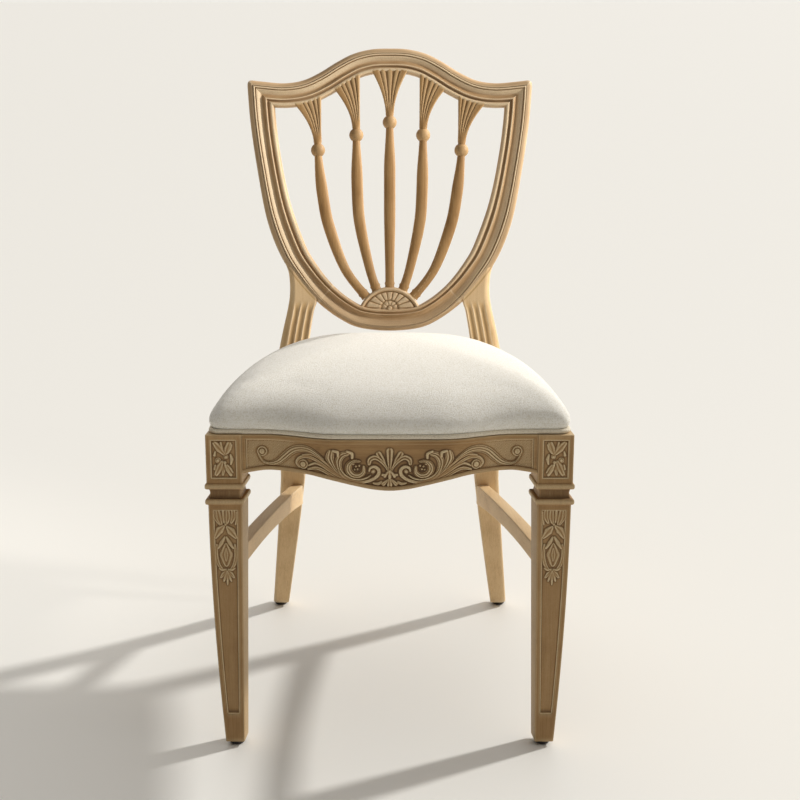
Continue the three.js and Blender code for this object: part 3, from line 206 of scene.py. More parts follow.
# Shield
backLean = math.radians(10)
backSet = 3.0
backFront = seatDepth - backSet
backBase = 482.8
dish = 10.0
shieldOverhang = 47.2
shieldHalf = rearWidth / 2 + shieldOverhang
shieldFoot = 23.0
earRise = 407.0
crestRise = 51.0
mouldingFootWidth = 35.5
mouldingTopWidth = 42.0
mouldingSwell = 7.0
swellUp = 170.0
swellReach = 80.0
lowFrom = 40.0
lowTo = 130.0
crestWidth = 38.5
shieldThickness = 24.0
earRadius = 9.0

# Ribs and fan
rodDepth = 14.0
rodTop = 6.0
rodSwell = 9.4
rodFoot = 7.3
ribSocket = 7.8
headHalfWidth = 6.5
centreSpread = 29.0
innerSpread = 55.0
outerSpread = 60.0
flarePower = 1.8
ribMidDepth = 11.0
ballRadius = 11.5
headFront = 0.4
headBack = 19.0
headFlute = 1.5
headLap = 4.2
headRoll = 2.6
collarSwell = 1.2
collarPlace = 9.0
collarSpan = 1.6
footFlare = 0.8
footFlareSpan = 6.0
footLap = 3.5
headBackRound = 5.0
rodSwellShare = 0.28
rodSocketShare = 0.93
ballGrain = 400.0
ballColumns = 48
fanRadius = 53.0
fanCentreRise = 19.0
fanHubRise = 37.0
fanHubRadius = 7.5
fanFront = 3.5
fanBack = 20.0
fanLobeDepth = 2.6
fanRimWidth = 7.0
fanCentreLobe = 0.2
fanLobeTurn = 0.34
fanHubLobeTurn = 0.62
fanSeat = 2.5
fanRimGap = 0.8
fanRimSink = 1.6
fanRimRise = 3.2
fanBackArris = 1.5
fanLobeOver = 0.6
fanDomeSink = 1.2
fanDomeRise = 2.4
fanPetalSink = 2.4
fanPetalRise = 2.2

sides = (("left", -1), ("right", 1))


# Numbers and curves


def lerp(a, b, share):
    return a + (b - a) * share


def smoothstep(value, low, high):
    share = np.clip((value - low) / (high - low), 0, 1)
    return share * share * (3 - 2 * share)


def ease(share):
    return (1 + np.cos(np.pi * np.clip(share, 0, 1))) / 2


def spline(points, shares):
    """Points and directions of a smooth curve through points, at shares of its row of points."""
    points = np.asarray(points, float)
    shares = np.atleast_1d(np.asarray(shares, float))
    last = len(points) - 1
    spot = np.clip(shares, 0, 1) * last
    index = np.minimum(spot.astype(int), last - 1)
    t = (spot - index)[:, None]
    p1, p2 = points[index], points[index + 1]
    p0 = points[np.maximum(index - 1, 0)]
    p3 = points[np.minimum(index + 2, last)]
    v0, v1 = (p2 - p0) / 2, (p3 - p1) / 2
    a, b = 2 * p1 - 2 * p2 + v0 + v1, -3 * p1 + 3 * p2 - 2 * v0 - v1
    place = a * t**3 + b * t**2 + v0 * t + p1
    along = 3 * a * t**2 + 2 * b * t + v0
    return place, along / np.linalg.norm(along, axis=1)[:, None]


def lengths(points):
    gaps = np.linalg.norm(np.diff(points, axis=0), axis=1)
    return np.concatenate([[0], np.cumsum(gaps)])


def columns(*parts):
    """Rows of coordinates with one column for each part; a single number fills its column."""
    return np.stack(np.broadcast_arrays(*parts), axis=-1)


def rounded_corner(x, y, into_x, into_y, radius, count, from_side):
    """Points round a corner of a section. into_x and into_y are 1 or -1, toward the section's inside."""
    turn = np.linspace(0, math.pi / 2, count)
    gone, come = 1 - np.cos(turn), 1 - np.sin(turn)
    off_x, off_y = (gone, come) if from_side else (come, gone)
    return columns(x + into_x * radius * off_x, y + into_y * radius * off_y)


# Meshes


def tube(rings):
    """Points and faces of a body through a row of closed rings, closed at both ends."""
    rings = np.asarray(rings, float)
    rows, corners = rings.shape[:2]
    index = np.arange(rows * corners).reshape(rows, corners)
    after = np.roll(index, -1, axis=1)
    quads = np.stack([index[:-1], after[:-1], after[1:], index[1:]], axis=-1)
    faces = quads.reshape(-1, 4).tolist() + [index[0][::-1].tolist(), index[-1].tolist()]
    return rings.reshape(-1, rings.shape[2]), faces


def joined(*bodies):
    points, faces, start = [], [], 0
    for spots, loops in bodies:
        points.append(spots)
        faces += [[corner + start for corner in face] for face in loops]
        start += len(spots)
    return np.concatenate(points), faces


def piece(name, points, faces, material, slot, nodes, grain=None, wear_and_painted_light=None, sharp=35):
    """Makes a mesh in the frame, with each point's grain and its mark of painted light, shade and waxing
    kept for its material.
    """
    points = np.asarray(points, float)
    mesh = bpy.data.meshes.new(name)
    spots = (points - (0, originY, 0)) / METRE
    mesh.from_pydata(spots.tolist(), [], faces)
    build = bmesh.new()
    build.from_mesh(mesh)
    bmesh.ops.recalc_face_normals(build, faces=build.faces)
    build.to_mesh(mesh)
    build.free()
    flow = np.asarray(points if grain is None else grain, np.float32)
    mesh.attributes.new("grain", "FLOAT_VECTOR", "POINT").data.foreach_set("vector", flow.ravel())
    rub_and_painted_light = np.zeros(len(points), np.float32) if wear_and_painted_light is None else np.asarray(wear_and_painted_light, np.float32)
    mesh.attributes.new("wear_and_painted_light", "FLOAT", "POINT").data.foreach_set("value", rub_and_painted_light)
    mesh.shade_smooth()
    mesh.set_sharp_from_angle(angle=math.radians(sharp))
    mesh.materials.append(material)
    body = bpy.data.objects.new(name, mesh)
    bpy.context.scene.collection.objects.link(body)
    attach(body, "root")
    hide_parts(*nodes)
    return body


# Materials

# Scales are in turns of the noise for each millimetre, and depths of bumps in millimetres
streakScale = (0.5, 0.5, 0.012)
poreScale = (2.6, 2.6, 0.11)
cloudScale = (0.02, 0.02, 0.012)
dustScale = (0.9, 0.9, 0.7)
poreBump = 0.2
dustBump = 0.4
weavePitch = 0.55
weltPitch = 0.8
wanderScale = (0.08, 0.08, 0.08)
slubAcrossScale = (0.06, 1.6, 0.3)
slubAlongScale = (1.6, 0.06, 0.3)
fuzzScale = (1.4, 1.4, 1.4)
speckleScale = (0.5, 0.5, 0.5)
weaveBump = 0.6
sawnScale = (0.006, 0.22, 0.22)
sawnBump = 0.4
mottleBump = 0.2
cambricBump = 0.3


class Tree:
    """A material's nodes, made and linked in one call each."""

    def __init__(self, name):
        self.material = bpy.data.materials.new(name)
        self.material.use_nodes = True
        self.nodes = self.material.node_tree.nodes
        self.links = self.material.node_tree.links
        self.shader = self.nodes["Principled BSDF"]

    def add(self, kind, inputs=None, **settings):
        node = self.nodes.new(kind)
        for key, value in settings.items():
            setattr(node, key, value)
        for key, value in (inputs or {}).items():
            self.feed(node.inputs[key], value)
        return node

    def feed(self, socket, value):
        if isinstance(value, bpy.types.NodeSocket):
            self.links.new(value, socket)
        else:
            socket.default_value = value

    def math(self, operation, a, b=0.0, clamp=False):
        node = self.add("ShaderNodeMath", {0: a, 1: b}, operation=operation)
        node.use_clamp = clamp
        return node.outputs[0]

    def noise(self, vector, scale, detail=3.0, rough=0.5, distortion=0.0):
        inputs = {
            "Vector": vector,
            "Scale": scale,
            "Detail": detail,
            "Roughness": rough,
            "Distortion": distortion,
        }
        return self.add("ShaderNodeTexNoise", inputs).outputs["Fac"]

    def ramp(self, value, stops):
        node = self.add("ShaderNodeValToRGB", {"Fac": value})
        band = node.color_ramp
        while len(band.elements) < len(stops):
            band.elements.new(0.5)
        for element, (place, colour) in zip(band.elements, stops):
            element.position = place
            element.color = (*colour, 1)
        return node.outputs["Color"]

    def between(self, value, low, high, to_low=0.0, to_high=1.0):
        inputs = {"Value": value, "From Min": low, "From Max": high, "To Min": to_low, "To Max": to_high}
        return self.add("ShaderNodeMapRange", inputs).outputs["Result"]

    def mix(self, share, a, b, blend="MIX"):
        node = self.add("ShaderNodeMix", data_type="RGBA", blend_type=blend)
        self.feed(node.inputs[0], share)
        self.feed(node.inputs[6], a)
        self.feed(node.inputs[7], b)
        return node.outputs[2]

    def scaled(self, vector, scale):
        return self.add("ShaderNodeMapping", {"Vector": vector, "Scale": scale}).outputs["Vector"]

    def bump(self, height, strength, depth, normal=None):
        inputs = {"Height": height, "Strength": strength, "Distance": depth / METRE}
        if normal is not None:
            inputs["Normal"] = normal
        return self.add("ShaderNodeBump", inputs).outputs["Normal"]


def srgb(text):
    """Linear colour from a six-digit hex code."""
    values = [int(text[i : i + 2], 16) / 255 for i in (0, 2, 4)]
    return tuple(v / 12.92 if v <= 0.04045 else ((v + 0.055) / 1.055) ** 2.4 for v in values)


def rgba(text):
    return (*srgb(text), 1)


def wood_material(name, dark, middle, light, wax_and_highlight, recess):
    """Beech, limed and waxed, with fine grain along the third grain coordinate. Pale marks and edges
    are partly waxed and partly a painted highlight; dark marks are a painted shade in the recesses.
    """
    tree = Tree(name)
    flow = tree.add("ShaderNodeAttribute", attribute_name="grain").outputs["Vector"]
    wear_and_painted_light = tree.add("ShaderNodeAttribute", attribute_name="wear_and_painted_light").outputs["Fac"]
    streak = tree.noise(tree.scaled(flow, streakScale), 1.0, 4.0, 0.6, 0.3)
    pores = tree.noise(tree.scaled(flow, poreScale), 1.0, 2.0, 0.5)
    cloud = tree.noise(tree.scaled(flow, cloudScale), 1.0, 3.0, 0.6)
    dust = tree.noise(tree.scaled(flow, dustScale), 1.0, 4.0, 0.7)
    tone = tree.math("ADD", tree.math("MULTIPLY", streak, 0.45), tree.math("MULTIPLY", cloud, 0.55))
    tone = tree.math("ADD", tone, tree.math("MULTIPLY", dust, 0.2))
    colour = tree.ramp(tone, [(0.42, srgb(dark)), (0.6, srgb(middle)), (0.8, srgb(light))])
    pore_share = tree.between(pores, 0.58, 0.74, 0.0, 0.3)
    colour = tree.mix(pore_share, colour, rgba(dark), "MULTIPLY")
    edge = tree.add("ShaderNodeNewGeometry").outputs["Pointiness"]
    # Sharp edges and marks above zero go pale: partly rubbed and waxed, partly a painted highlight.
    rubbed_and_highlit = tree.between(edge, 0.505, 0.56, 0.0, 0.5)
    worn_and_highlit = tree.math("MULTIPLY", tree.math("MAXIMUM", wear_and_painted_light, 0.0), tree.between(dust, 0.3, 0.6, 0.4, 1.0))
    pale = tree.math("MAXIMUM", rubbed_and_highlit, worn_and_highlit, clamp=True)
    colour = tree.mix(pale, colour, rgba(wax_and_highlight))
    # Marks below zero darken toward the recess colour: a painted shade in grooves and recesses.
    deep = tree.math("MULTIPLY", tree.math("MAXIMUM", tree.math("MULTIPLY", wear_and_painted_light, -1.0), 0.0), 0.9)
    colour = tree.mix(deep, colour, rgba(recess))
    tree.feed(tree.shader.inputs["Base Color"], colour)
    tree.feed(tree.shader.inputs["Roughness"], tree.between(streak, 0.2, 0.8, 0.44, 0.62))
    tree.shader.inputs["Specular IOR Level"].default_value = 0.3
    grainy = tree.bump(pores, 0.25, poreBump)
    tree.feed(tree.shader.inputs["Normal"], tree.bump(dust, 0.12, dustBump, grainy))
    return tree.material


def linen_material(name, base, shade, pitch):
    """Plain weave: warp and weft threads, a little uneven, with slubs and soft fuzz."""
    tree = Tree(name)
    flow = tree.add("ShaderNodeAttribute", attribute_name="grain").outputs["Vector"]
    wander = tree.noise(tree.scaled(flow, wanderScale), 1.0, 2.0)
    parts = tree.add("ShaderNodeSeparateXYZ", {"Vector": flow})
    turn = math.pi / pitch
    across = tree.math("MULTIPLY", tree.math("ADD", parts.outputs[0], wander), turn)
    along = tree.math("MULTIPLY", tree.math("ADD", parts.outputs[1], wander), turn)
    warp = tree.math("SINE", across)
    weft = tree.math("SINE", along)
    check = tree.math("MULTIPLY", warp, weft)
    slub_across = tree.noise(tree.scaled(flow, slubAcrossScale), 1.0, 3.0)
    slub_along = tree.noise(tree.scaled(flow, slubAlongScale), 1.0, 3.0)
    slub = tree.math("MAXIMUM", slub_across, slub_along)
    fuzz = tree.noise(tree.scaled(flow, fuzzScale), 1.0, 3.0, 0.7)
    colour = tree.mix(tree.between(slub, 0.55, 0.78, 0.0, 0.55), rgba(base), rgba(shade))
    colour = tree.mix(tree.between(check, -1.0, 1.0, 0.0, 0.18), colour, rgba(shade))
    colour = tree.mix(tree.between(fuzz, 0.35, 0.7, 0.0, 0.22), colour, rgba(shade))
    speckle = tree.noise(tree.scaled(flow, speckleScale), 1.0, 3.0, 0.7)
    colour = tree.mix(tree.between(speckle, 0.48, 0.6, 0.0, 0.55), colour, rgba(shade))
    tree.feed(tree.shader.inputs["Base Color"], colour)
    tree.shader.inputs["Roughness"].default_value = 0.92
    tree.shader.inputs["Specular IOR Level"].default_value = 0.15
    tree.shader.inputs["Sheen Weight"].default_value = 0.25
    tree.shader.inputs["Sheen Roughness"].default_value = 0.6
    height = tree.math("ADD", tree.math("MULTIPLY", check, 0.3), tree.math("MULTIPLY", fuzz, 1.2))
    height = tree.math("SUBTRACT", height, tree.math("MULTIPLY", speckle, 2.4))
    tree.feed(tree.shader.inputs["Normal"], tree.bump(height, 0.5, weaveBump))
    return tree.material


def plain_material(name, base, shade, roughness, metal=0.0, scale=0.4, depth=mottleBump):
    """Nylon, steel, foam or thin cloth: one colour with fine mottling."""
    tree = Tree(name)
    place = tree.add("ShaderNodeTexCoord").outputs["Object"]
    mottle = tree.noise(tree.scaled(place, (scale * METRE,) * 3), 1.0, 3.0, 0.6)
    colour = tree.mix(tree.between(mottle, 0.3, 0.7), rgba(base), rgba(shade))
    tree.feed(tree.shader.inputs["Base Color"], colour)
    tree.feed(tree.shader.inputs["Roughness"], tree.between(mottle, 0.3, 0.7, roughness, roughness + 0.12))
    tree.shader.inputs["Metallic"].default_value = metal
    tree.feed(tree.shader.inputs["Normal"], tree.bump(mottle, 0.3, depth))
    return tree.material


wood = wood_material("limed_beech", "A6845C", "C19F76", "CFB38C", "F2E2C2", "4E3722")
# A lighter copy of the beech for the posts, the rear legs and the stretchers: painted light, for the light
# that falls on them.
painted_lit_wood = wood_material("painted_lit_beech", "CDA875", "E2BF8C", "EDCF9F", "F6E8CE", "6A4A2A")
# A darker, browner copy of the beech for the ribs, the front legs and the front rail: painted shade, for
# the shade they stand in.
shaded_carved_wood = wood_material("shaded_carved_beech", "916D43", "A88355", "B89668", "E2CDA4", "46301C")
linen = linen_material("linen", "F8F6F0", "D3CBB7", weavePitch)
welt_cloth = linen_material("welt_linen", "F2E8D4", "CBBD9F", weltPitch)
cambric = plain_material("cambric", "1C1A18", "2C2925", 0.9, scale=1.2, depth=cambricBump)
nylon = plain_material("nylon", "241A12", "33261B", 0.45)
steel = plain_material("zinc_steel", "9B9B98", "7F7F7C", 0.3, metal=1.0, scale=0.8)


def raw_beech():
    """Sawn beech for the hidden blocks and the board, with its grain across the chair."""
    tree = Tree("raw_beech")
    place = tree.add("ShaderNodeTexCoord").outputs["Object"]
    scale = tuple(value * METRE for value in sawnScale)
    streak = tree.noise(tree.scaled(place, scale), 1.0, 4.0, 0.6, 0.5)
    colour = tree.ramp(streak, [(0.3, srgb("A88258")), (0.55, srgb("C7A377")), (0.8, srgb("D8BA90"))])
    tree.feed(tree.shader.inputs["Base Color"], colour)
    tree.shader.inputs["Roughness"].default_value = 0.7
    tree.feed(tree.shader.inputs["Normal"], tree.bump(streak, 0.3, sawnBump))
    return tree.material


raw_wood = raw_beech()


# Plan curves of the seat


def side_line(y, bow):
    share = y / seatDepth
    return frontWidth / 2 - (frontWidth - rearWidth) / 2 * share + 4 * bow * share * (1 - share)


def front_face(x):
    return frontRailSet - frontRailBow * ease((np.abs(x) - bowPlateau) / (bowReach - bowPlateau))


def side_outer(y):
    return side_line(y, sideBow)


def side_inner(y):
    return side_outer(y) - sideRailSet - sideRailThickness


# The leaning, dished back


def on_back(across, up, depth):
    """Points of the chair for places across, up along and behind the front of the back."""
    across, up, depth = np.broadcast_arrays(across, up, depth)
    bend = dish * (1 - np.minimum(1, (across / shieldHalf) ** 2))
    y = backFront + up * math.sin(backLean) + (depth + bend) * math.cos(backLean)
    z = backBase + up * math.cos(backLean) - (depth + bend) * math.sin(backLean)
    return np.stack([across, y, z], axis=-1)


flankShares = (
    (0, 0),
    (0.212, 0.012),
    (0.355, 0.048),
    (0.51, 0.114),
    (0.65, 0.2),
    (0.77, 0.3),
    (0.869, 0.45),
    (0.938, 0.665),
    (0.98, 0.84),
    (1, 1),
)
crestShares = (
    (1, 0),
    (0.88, -0.06),
    (0.74, -0.1),
    (0.61, -0.01),
    (0.49, 0.24),
    (0.375, 0.56),
    (0.257, 0.83),
    (0.13, 0.973),
    (0, 1),
)
flankRight = np.array([(a * shieldHalf, shieldFoot + b * earRise) for a, b in flankShares])
crestRight = np.array([(a * shieldHalf, shieldFoot + earRise + b * crestRise) for a, b in crestShares])
flankCurve = np.concatenate([flankRight[:0:-1] * (-1, 1), flankRight])
crestCurve = np.concatenate([crestRight * (-1, 1), crestRight[-2::-1]])
jointPoint = 3


def flank_share(point):
    return (len(flankRight) - 1 + point) / (2 * (len(flankRight) - 1))


def flank_width(up):
    swell = mouldingSwell * np.exp(-(((up - swellUp) / swellReach) ** 2))
    return lerp(mouldingFootWidth, mouldingTopWidth, (up - shieldFoot) / earRise) + swell


def cove_light_and_shade(share):
    """A painted highlight on the cove's outer side, going over to a painted shade on its inner side."""
    return 0.6 - 0.8 * smoothstep(share, 0.4, 0.75)


# Edges of the moulding's profile, each as shares of its width and thickness, and its mark: mostly a
# painted shade in the quirks, the groove, the hollow and down the inner wall
quirkShares = ((0.208, 0.1, -0.4), (0.226, 0.11, -0.4))
grooveShares = ((0.297, 0.1, -0.4), (0.31, 0.12, -0.45), (0.322, 0.1, -0.3), (0.332, 0.06, 0.1))
hollowShares = ((0.73, 0.12, -0.3), (0.75, 0.15, -0.5), (0.78, 0.16, -0.5), (0.8, 0.15, -0.3))
wallShares = ((0.99, 0.27, -0.2), (1.0, 0.32, -0.2), (1.0, 0.94, 0), (0.965, 1.0, 0.1), (0.5, 1.0, 0))
backShares = ((0.035, 1.0, 0.1), (0.0, 0.94, 0))


def moulding_profile():
    """Front and back of the moulding from its outer to its inner edge, as shares of width and thickness,
    and how pale or dark each place is: a painted highlight on the outer edge, the beads and the ridge,
    a painted shade in the grooves."""
    turn = np.linspace(0, math.pi / 2, 10)
    shoulder = columns(0.2 * (1 - np.cos(turn)), 0.42 - 0.36 * np.sin(turn), 0.8 * (turn < 0.3) - 0.1)
    turn = np.linspace(0.1, math.pi - 0.1, 9)
    bead = columns(0.262 - 0.032 * np.cos(turn), 0.05 - 0.05 * np.sin(turn), 0.9 * np.sin(turn) - 0.1)
    ridge = columns(0.696 - 0.028 * np.cos(turn), 0.055 - 0.05 * np.sin(turn), 0.8 * np.sin(turn) - 0.1)
    across = np.linspace(0, 1, 19)
    sunk = 0.05 + 0.17 * np.sin(math.pi * across**1.6)
    cove = columns(lerp(0.337, 0.66, across), sunk, cove_light_and_shade(across))
    turn = np.linspace(0.1, math.pi * 0.8, 13)
    inner = columns(0.898 - 0.085 * np.cos(turn), 0.17 - 0.14 * np.sin(turn), 0.7 * np.sin(turn) - 0.05)
    outer_part = [shoulder, quirkShares, bead, grooveShares, cove]
    return np.concatenate([*outer_part, ridge, hollowShares, inner, wallShares, backShares])


def outline_frames(curve, shares, inward):
    point, along = spline(curve, shares)
    normal = np.stack([-along[:, 1], along[:, 0]], axis=1) * inward
    width = flank_width(point[:, 1]) if curve is flankCurve else np.full(len(point), crestWidth)
    return point, along, normal, width


highEdgeShares = (0, 0.2, 0.332, 0.66, 0.8, 1)
lowEdgeShares = (0, 0.165, 0.215, 0.715, 0.825, 1)


def low_shares(shares):
    """Shares of the moulding's width at the foot of the shield: a broader cove between slimmer edges."""
    return np.interp(shares, highEdgeShares, lowEdgeShares)


def sweep(point, normal, width, rounded):
    """Rings of the moulding in the plane of the back, their grain (across, depth, along) and their painted
    light and shade.
    """
    profile = moulding_profile()
    depth = profile[:, 1][None, :] * shieldThickness
    low = 1 - smoothstep(point[:, 1], lowFrom, lowTo)[:, None]
    share = lerp(profile[:, 0][None, :], low_shares(profile[:, 0])[None, :], low)
    offset = lerp(rounded[:, None], width[:, None], share)
    spot = point[:, None, :] + normal[:, None, :] * offset[..., None]
    rings = columns(spot[..., 0], spot[..., 1], depth)
    grain = columns(offset, depth, lengths(point)[:, None])
    return rings, grain, profile[:, 2][None, :] * (1 - 0.6 * low)


def ear_rounding(point, ears):
    rounded = np.zeros(len(point))
    for ear in ears:
        left = np.minimum(np.linalg.norm(point - ear, axis=1), earRadius)
        rounded = np.maximum(rounded, earRadius - np.sqrt(earRadius**2 - (earRadius - left) ** 2))
    return rounded


def close_shares(curve, shares, ears):
    """Adds places close to each ear, where the outer corner is rounded."""
    run = lengths(spline(curve, np.linspace(0, 1, 200))[0])[-1]
    near = earRadius * np.array([0.04, 0.12, 0.25, 0.42, 0.62, 0.82]) / run
    extra = [1 - near if ear > 0 else near for ear in ears]
    return np.sort(np.concatenate([shares, *extra]))


def ear_mitre(side):
    """A point and a normal of the plane between flank and crest; the normal points to the crest."""
    _, _, flank_normal, flank_wide = outline_frames(flankCurve, [1.0], 1)
    _, _, crest_normal, crest_wide = outline_frames(crestCurve, [1.0], -1)
    a, b, wide, slim = flank_normal[0], crest_normal[0], flank_wide[0], crest_wide[0]
    lean = float(a @ b)
    mitre = (a * (wide - lean * slim) + b * (slim - lean * wide)) / (1 - lean**2)
    mitre = mitre / np.linalg.norm(mitre)
    across = np.array([mitre[1], -mitre[0]])
    across = across * np.sign(across @ np.array([-1.0, 1.0]))
    return flankRight[-1] * (side, 1), across * (side, 1)


def cut_body(points, grain, wear_and_painted_light, faces, planes):
    """Cuts a body in the plane of the back by planes whose normals point away from it, and closes it."""
    build = bmesh.new()
    flow_layer = build.verts.layers.float_vector.new("grain")
    wear_and_painted_light_layer = build.verts.layers.float.new("wear_and_painted_light")
    for spot, flow, rub_and_painted_light in zip(points, grain, wear_and_painted_light):
        corner = build.verts.new(spot)
        corner[flow_layer] = flow
        corner[wear_and_painted_light_layer] = rub_and_painted_light
    build.verts.ensure_lookup_table()
    for face in faces:
        build.faces.new([build.verts[i] for i in face])
    for spot, normal in planes:
        everything = build.verts[:] + build.edges[:] + build.faces[:]
        place = {"plane_co": (*spot, 0), "plane_no": (*normal, 0)}
        cut = bmesh.ops.bisect_plane(build, geom=everything, dist=sameSpot, clear_outer=True, **place)
        edges = [item for item in cut["geom_cut"] if isinstance(item, bmesh.types.BMEdge)]
        bmesh.ops.holes_fill(build, edges=edges)
    build.verts.index_update()
    spots = np.array([corner.co for corner in build.verts])
    flows = np.array([corner[flow_layer] for corner in build.verts])
    rubs_and_painted_light = np.array([corner[wear_and_painted_light_layer] for corner in build.verts])
    corners = [[corner.index for corner in face.verts] for face in build.faces]
    build.free()
    return on_back(spots[:, 0], spots[:, 1], spots[:, 2]), corners, flows, rubs_and_painted_light


def moulding(curve, shares, inward, ears, planes):
    point, _, normal, width = outline_frames(curve, shares, inward)
    corners = [flankRight[-1] * (side, 1) for side in ears]
    rings, grain, wear_and_painted_light = sweep(point, normal, width, ear_rounding(point, corners))
    points, faces = tube(rings)
    return cut_body(points, grain.reshape(-1, 3), wear_and_painted_light.ravel(), faces, planes)


def make_shield():
    joint = flank_share(jointPoint)
    for name, side in sides:
        reach = np.linspace(joint, 1, 110) if side > 0 else np.linspace(0, 1 - joint, 110)
        shares = close_shares(flankCurve, reach, [side])
        spot, normal = ear_mitre(side)
        body = moulding(flankCurve, shares, 1, [side], [(spot, normal)])
        piece(name + "_flank", *body[:2], wood, "wood", [name + "_back_post"], *body[2:])
    shares = close_shares(crestCurve, np.linspace(0, 1, 200), [1, -1])
    planes = []
    for _, side in sides:
        spot, normal = ear_mitre(side)
        planes.append((spot, -normal))
    body = moulding(crestCurve, shares, -1, [1, -1], planes)
    piece("crest_moulding", *body[:2], wood, "wood", ["crest_rail"], *body[2:])
    body = moulding(flankCurve, np.linspace(1 - joint, joint, 120), 1, [], [])
    piece("lower_moulding", *body[:2], wood, "wood", ["lower_shield_rail"], *body[2:])


# Posts and rear legs

postCentre = (rearWidth - postWidth) / 2
rearSeatFoot = railTop - sideRailHeight - postDepth
postRiseShares = (0, 0.17, 0.28, 0.38, 0.48, 0.56, 0.65, 0.77, 0.85, 0.93, 1)
postOuterShares = (0.43, 0.32, 0.24, 0.17, 0.11, 0.085, 0.08, 0.11, 0.18, 0.3, 0.37)
postInnerShares = (-0.53, -0.61, -0.67, -0.73, -0.83, -0.8, -0.7, -0.46, -0.25, -0.04, 0.15)


def rear_leg_front(z):
    return seatDepth + rearFootRake * np.maximum(0, 1 - z / rakeHeight) ** 2


def rear_leg_edge(z, foot, knee, top):
    high = postCentre + lerp(knee, top, smoothstep(z, splayHeight, rearSeatFoot))
    low = postCentre + knee + (foot - knee) * np.maximum(0, 1 - z / splayHeight) ** splayPower
    return np.where(z > splayHeight, high, low)


def rear_leg_outer(z):
    return rear_leg_edge(z, rearFootOuter, kneeOuter, postWidth / 2)


def rear_leg_inner(z):
    return rear_leg_edge(z, rearFootInner, kneeInner, -postWidth / 2)


def rear_leg_depth(z):
    return lerp(rearFootDepth, postDepth, smoothstep(z, 0, rakeHeight))


def post_plan(outer, inner, front, back, bevel, bevel_depth, flutes):
    """One section of a post, from the inner back arris round by the front: across, depth and painted light.
    """
    inner_back = rounded_corner(inner, back, 1, -1, postArris, arrisPoints, False)
    inner_front = rounded_corner(inner, front, 1, 1, postArris, arrisPoints, True)
    outer_back = rounded_corner(outer, back, -1, -1, postArris, arrisPoints, True)
    shares = np.linspace(0, 1, postFaceColumns)[1:]
    wave = np.abs(np.sin(shares * fluteCount * math.pi)) ** 0.7
    face = columns(lerp(inner + postArris, outer - bevel, shares), front + flutes * wave)
    turn = np.linspace(0, math.pi / 2, 9)[1:]
    sink = bevel_depth * (1 - np.cos(turn) ** 1.1)
    shoulder = columns(lerp(outer - bevel, outer, np.sin(turn) ** 1.3), front + sink)
    plan = np.concatenate([inner_back, inner_front, face, shoulder, outer_back])
    wear_and_painted_light = np.zeros(len(plan))
    start = len(inner_back) + len(inner_front)
    # A painted highlight on the ridges between the flutes and a painted shade in their hollows; painted
    # highlights on the front arrises.
    wear_and_painted_light[start : start + len(face)] = (0.6 - 1.1 * wave**2) * flutes / fluteDepth
    wear_and_painted_light[start - 2 : start] = 0.4
    wear_and_painted_light[-len(outer_back) - 2 : -len(outer_back) + 1] = 0.35
    return plan, wear_and_painted_light


def moulding_inside(across, up):
    """Distance inward from the shield's outer line, as a share of the moulding's width."""
    point, _, normal, width = outline_frames(flankCurve, np.linspace(0.5, 1, 400), 1)
    gap = np.stack([across, up], axis=-1)[:, None, :] - point[None, :, :]
    nearest = np.argmin((gap**2).sum(axis=2), axis=1)
    rows = np.arange(len(nearest))
    return (gap[rows, nearest] * normal[nearest]).sum(axis=1) / width[nearest]


def rear_leg_ring(side, z, inset):
    """One level of a rear leg and its seat block, with its grain and its painted light."""
    front = float(rear_leg_front(z)) + inset
    back = front + float(rear_leg_depth(z)) - 2 * inset
    square = float(smoothstep(z, rearSeatFoot, rearSeatFoot + squareRise))
    bevel = lerp(rearLegBevel, postArris, square)
    outer, inner = float(rear_leg_outer(z)) - inset, float(rear_leg_inner(z)) + inset
    plan, wear_and_painted_light = post_plan(outer, inner, front, back, bevel, bevel, 0.0)
    # The leg below the block is painted a little paler, a painted highlight.
    return columns(side * plan[:, 0], plan[:, 1], z), columns(*plan.T, z), wear_and_painted_light + 0.1 * (1 - square)


def post_ring(side, rise, outer, inner):
    """One section of a post over the seat, with its grain and its painted light. It sinks behind the
    moulding.
    """
    back = lerp(postDepth - postBackSet, postTopDepth - fit, min(1, rise / 0.6))
    fade = 1 - float(smoothstep(rise, 0.36, 0.5))
    bevel = lerp(postBevel, postTopBevel, rise)
    bevel_depth = lerp(postBevelDepth, postTopBevelDepth, rise)
    plan, wear_and_painted_light = post_plan(outer, inner, postFrontSet, back, bevel, bevel_depth, fluteDepth * fade)
    up = shoulderRise * rise
    inside = moulding_inside(plan[:, 0], np.full(len(plan), up))
    sink = smoothstep(inside, 0.2, 0.26) * postTopSink
    depth = np.minimum(np.maximum(plan[:, 1], postFrontSet + sink), back)
    seam = np.exp(-(((inside - 0.02) / 0.03) ** 2)) * (plan[:, 1] < postFrontSet + postSeamDepth)
    face = (plan[:, 1] < postFrontSet + postFaceDepth) * (1 - fade)
    ring = on_back(side * plan[:, 0], up, depth)
    # A dark line along the seam with the moulding; the plain front above the flutes is painted paler, a
    # painted highlight.
    return ring, columns(*plan.T, railTop + up), wear_and_painted_light - 0.7 * seam + 0.25 * face


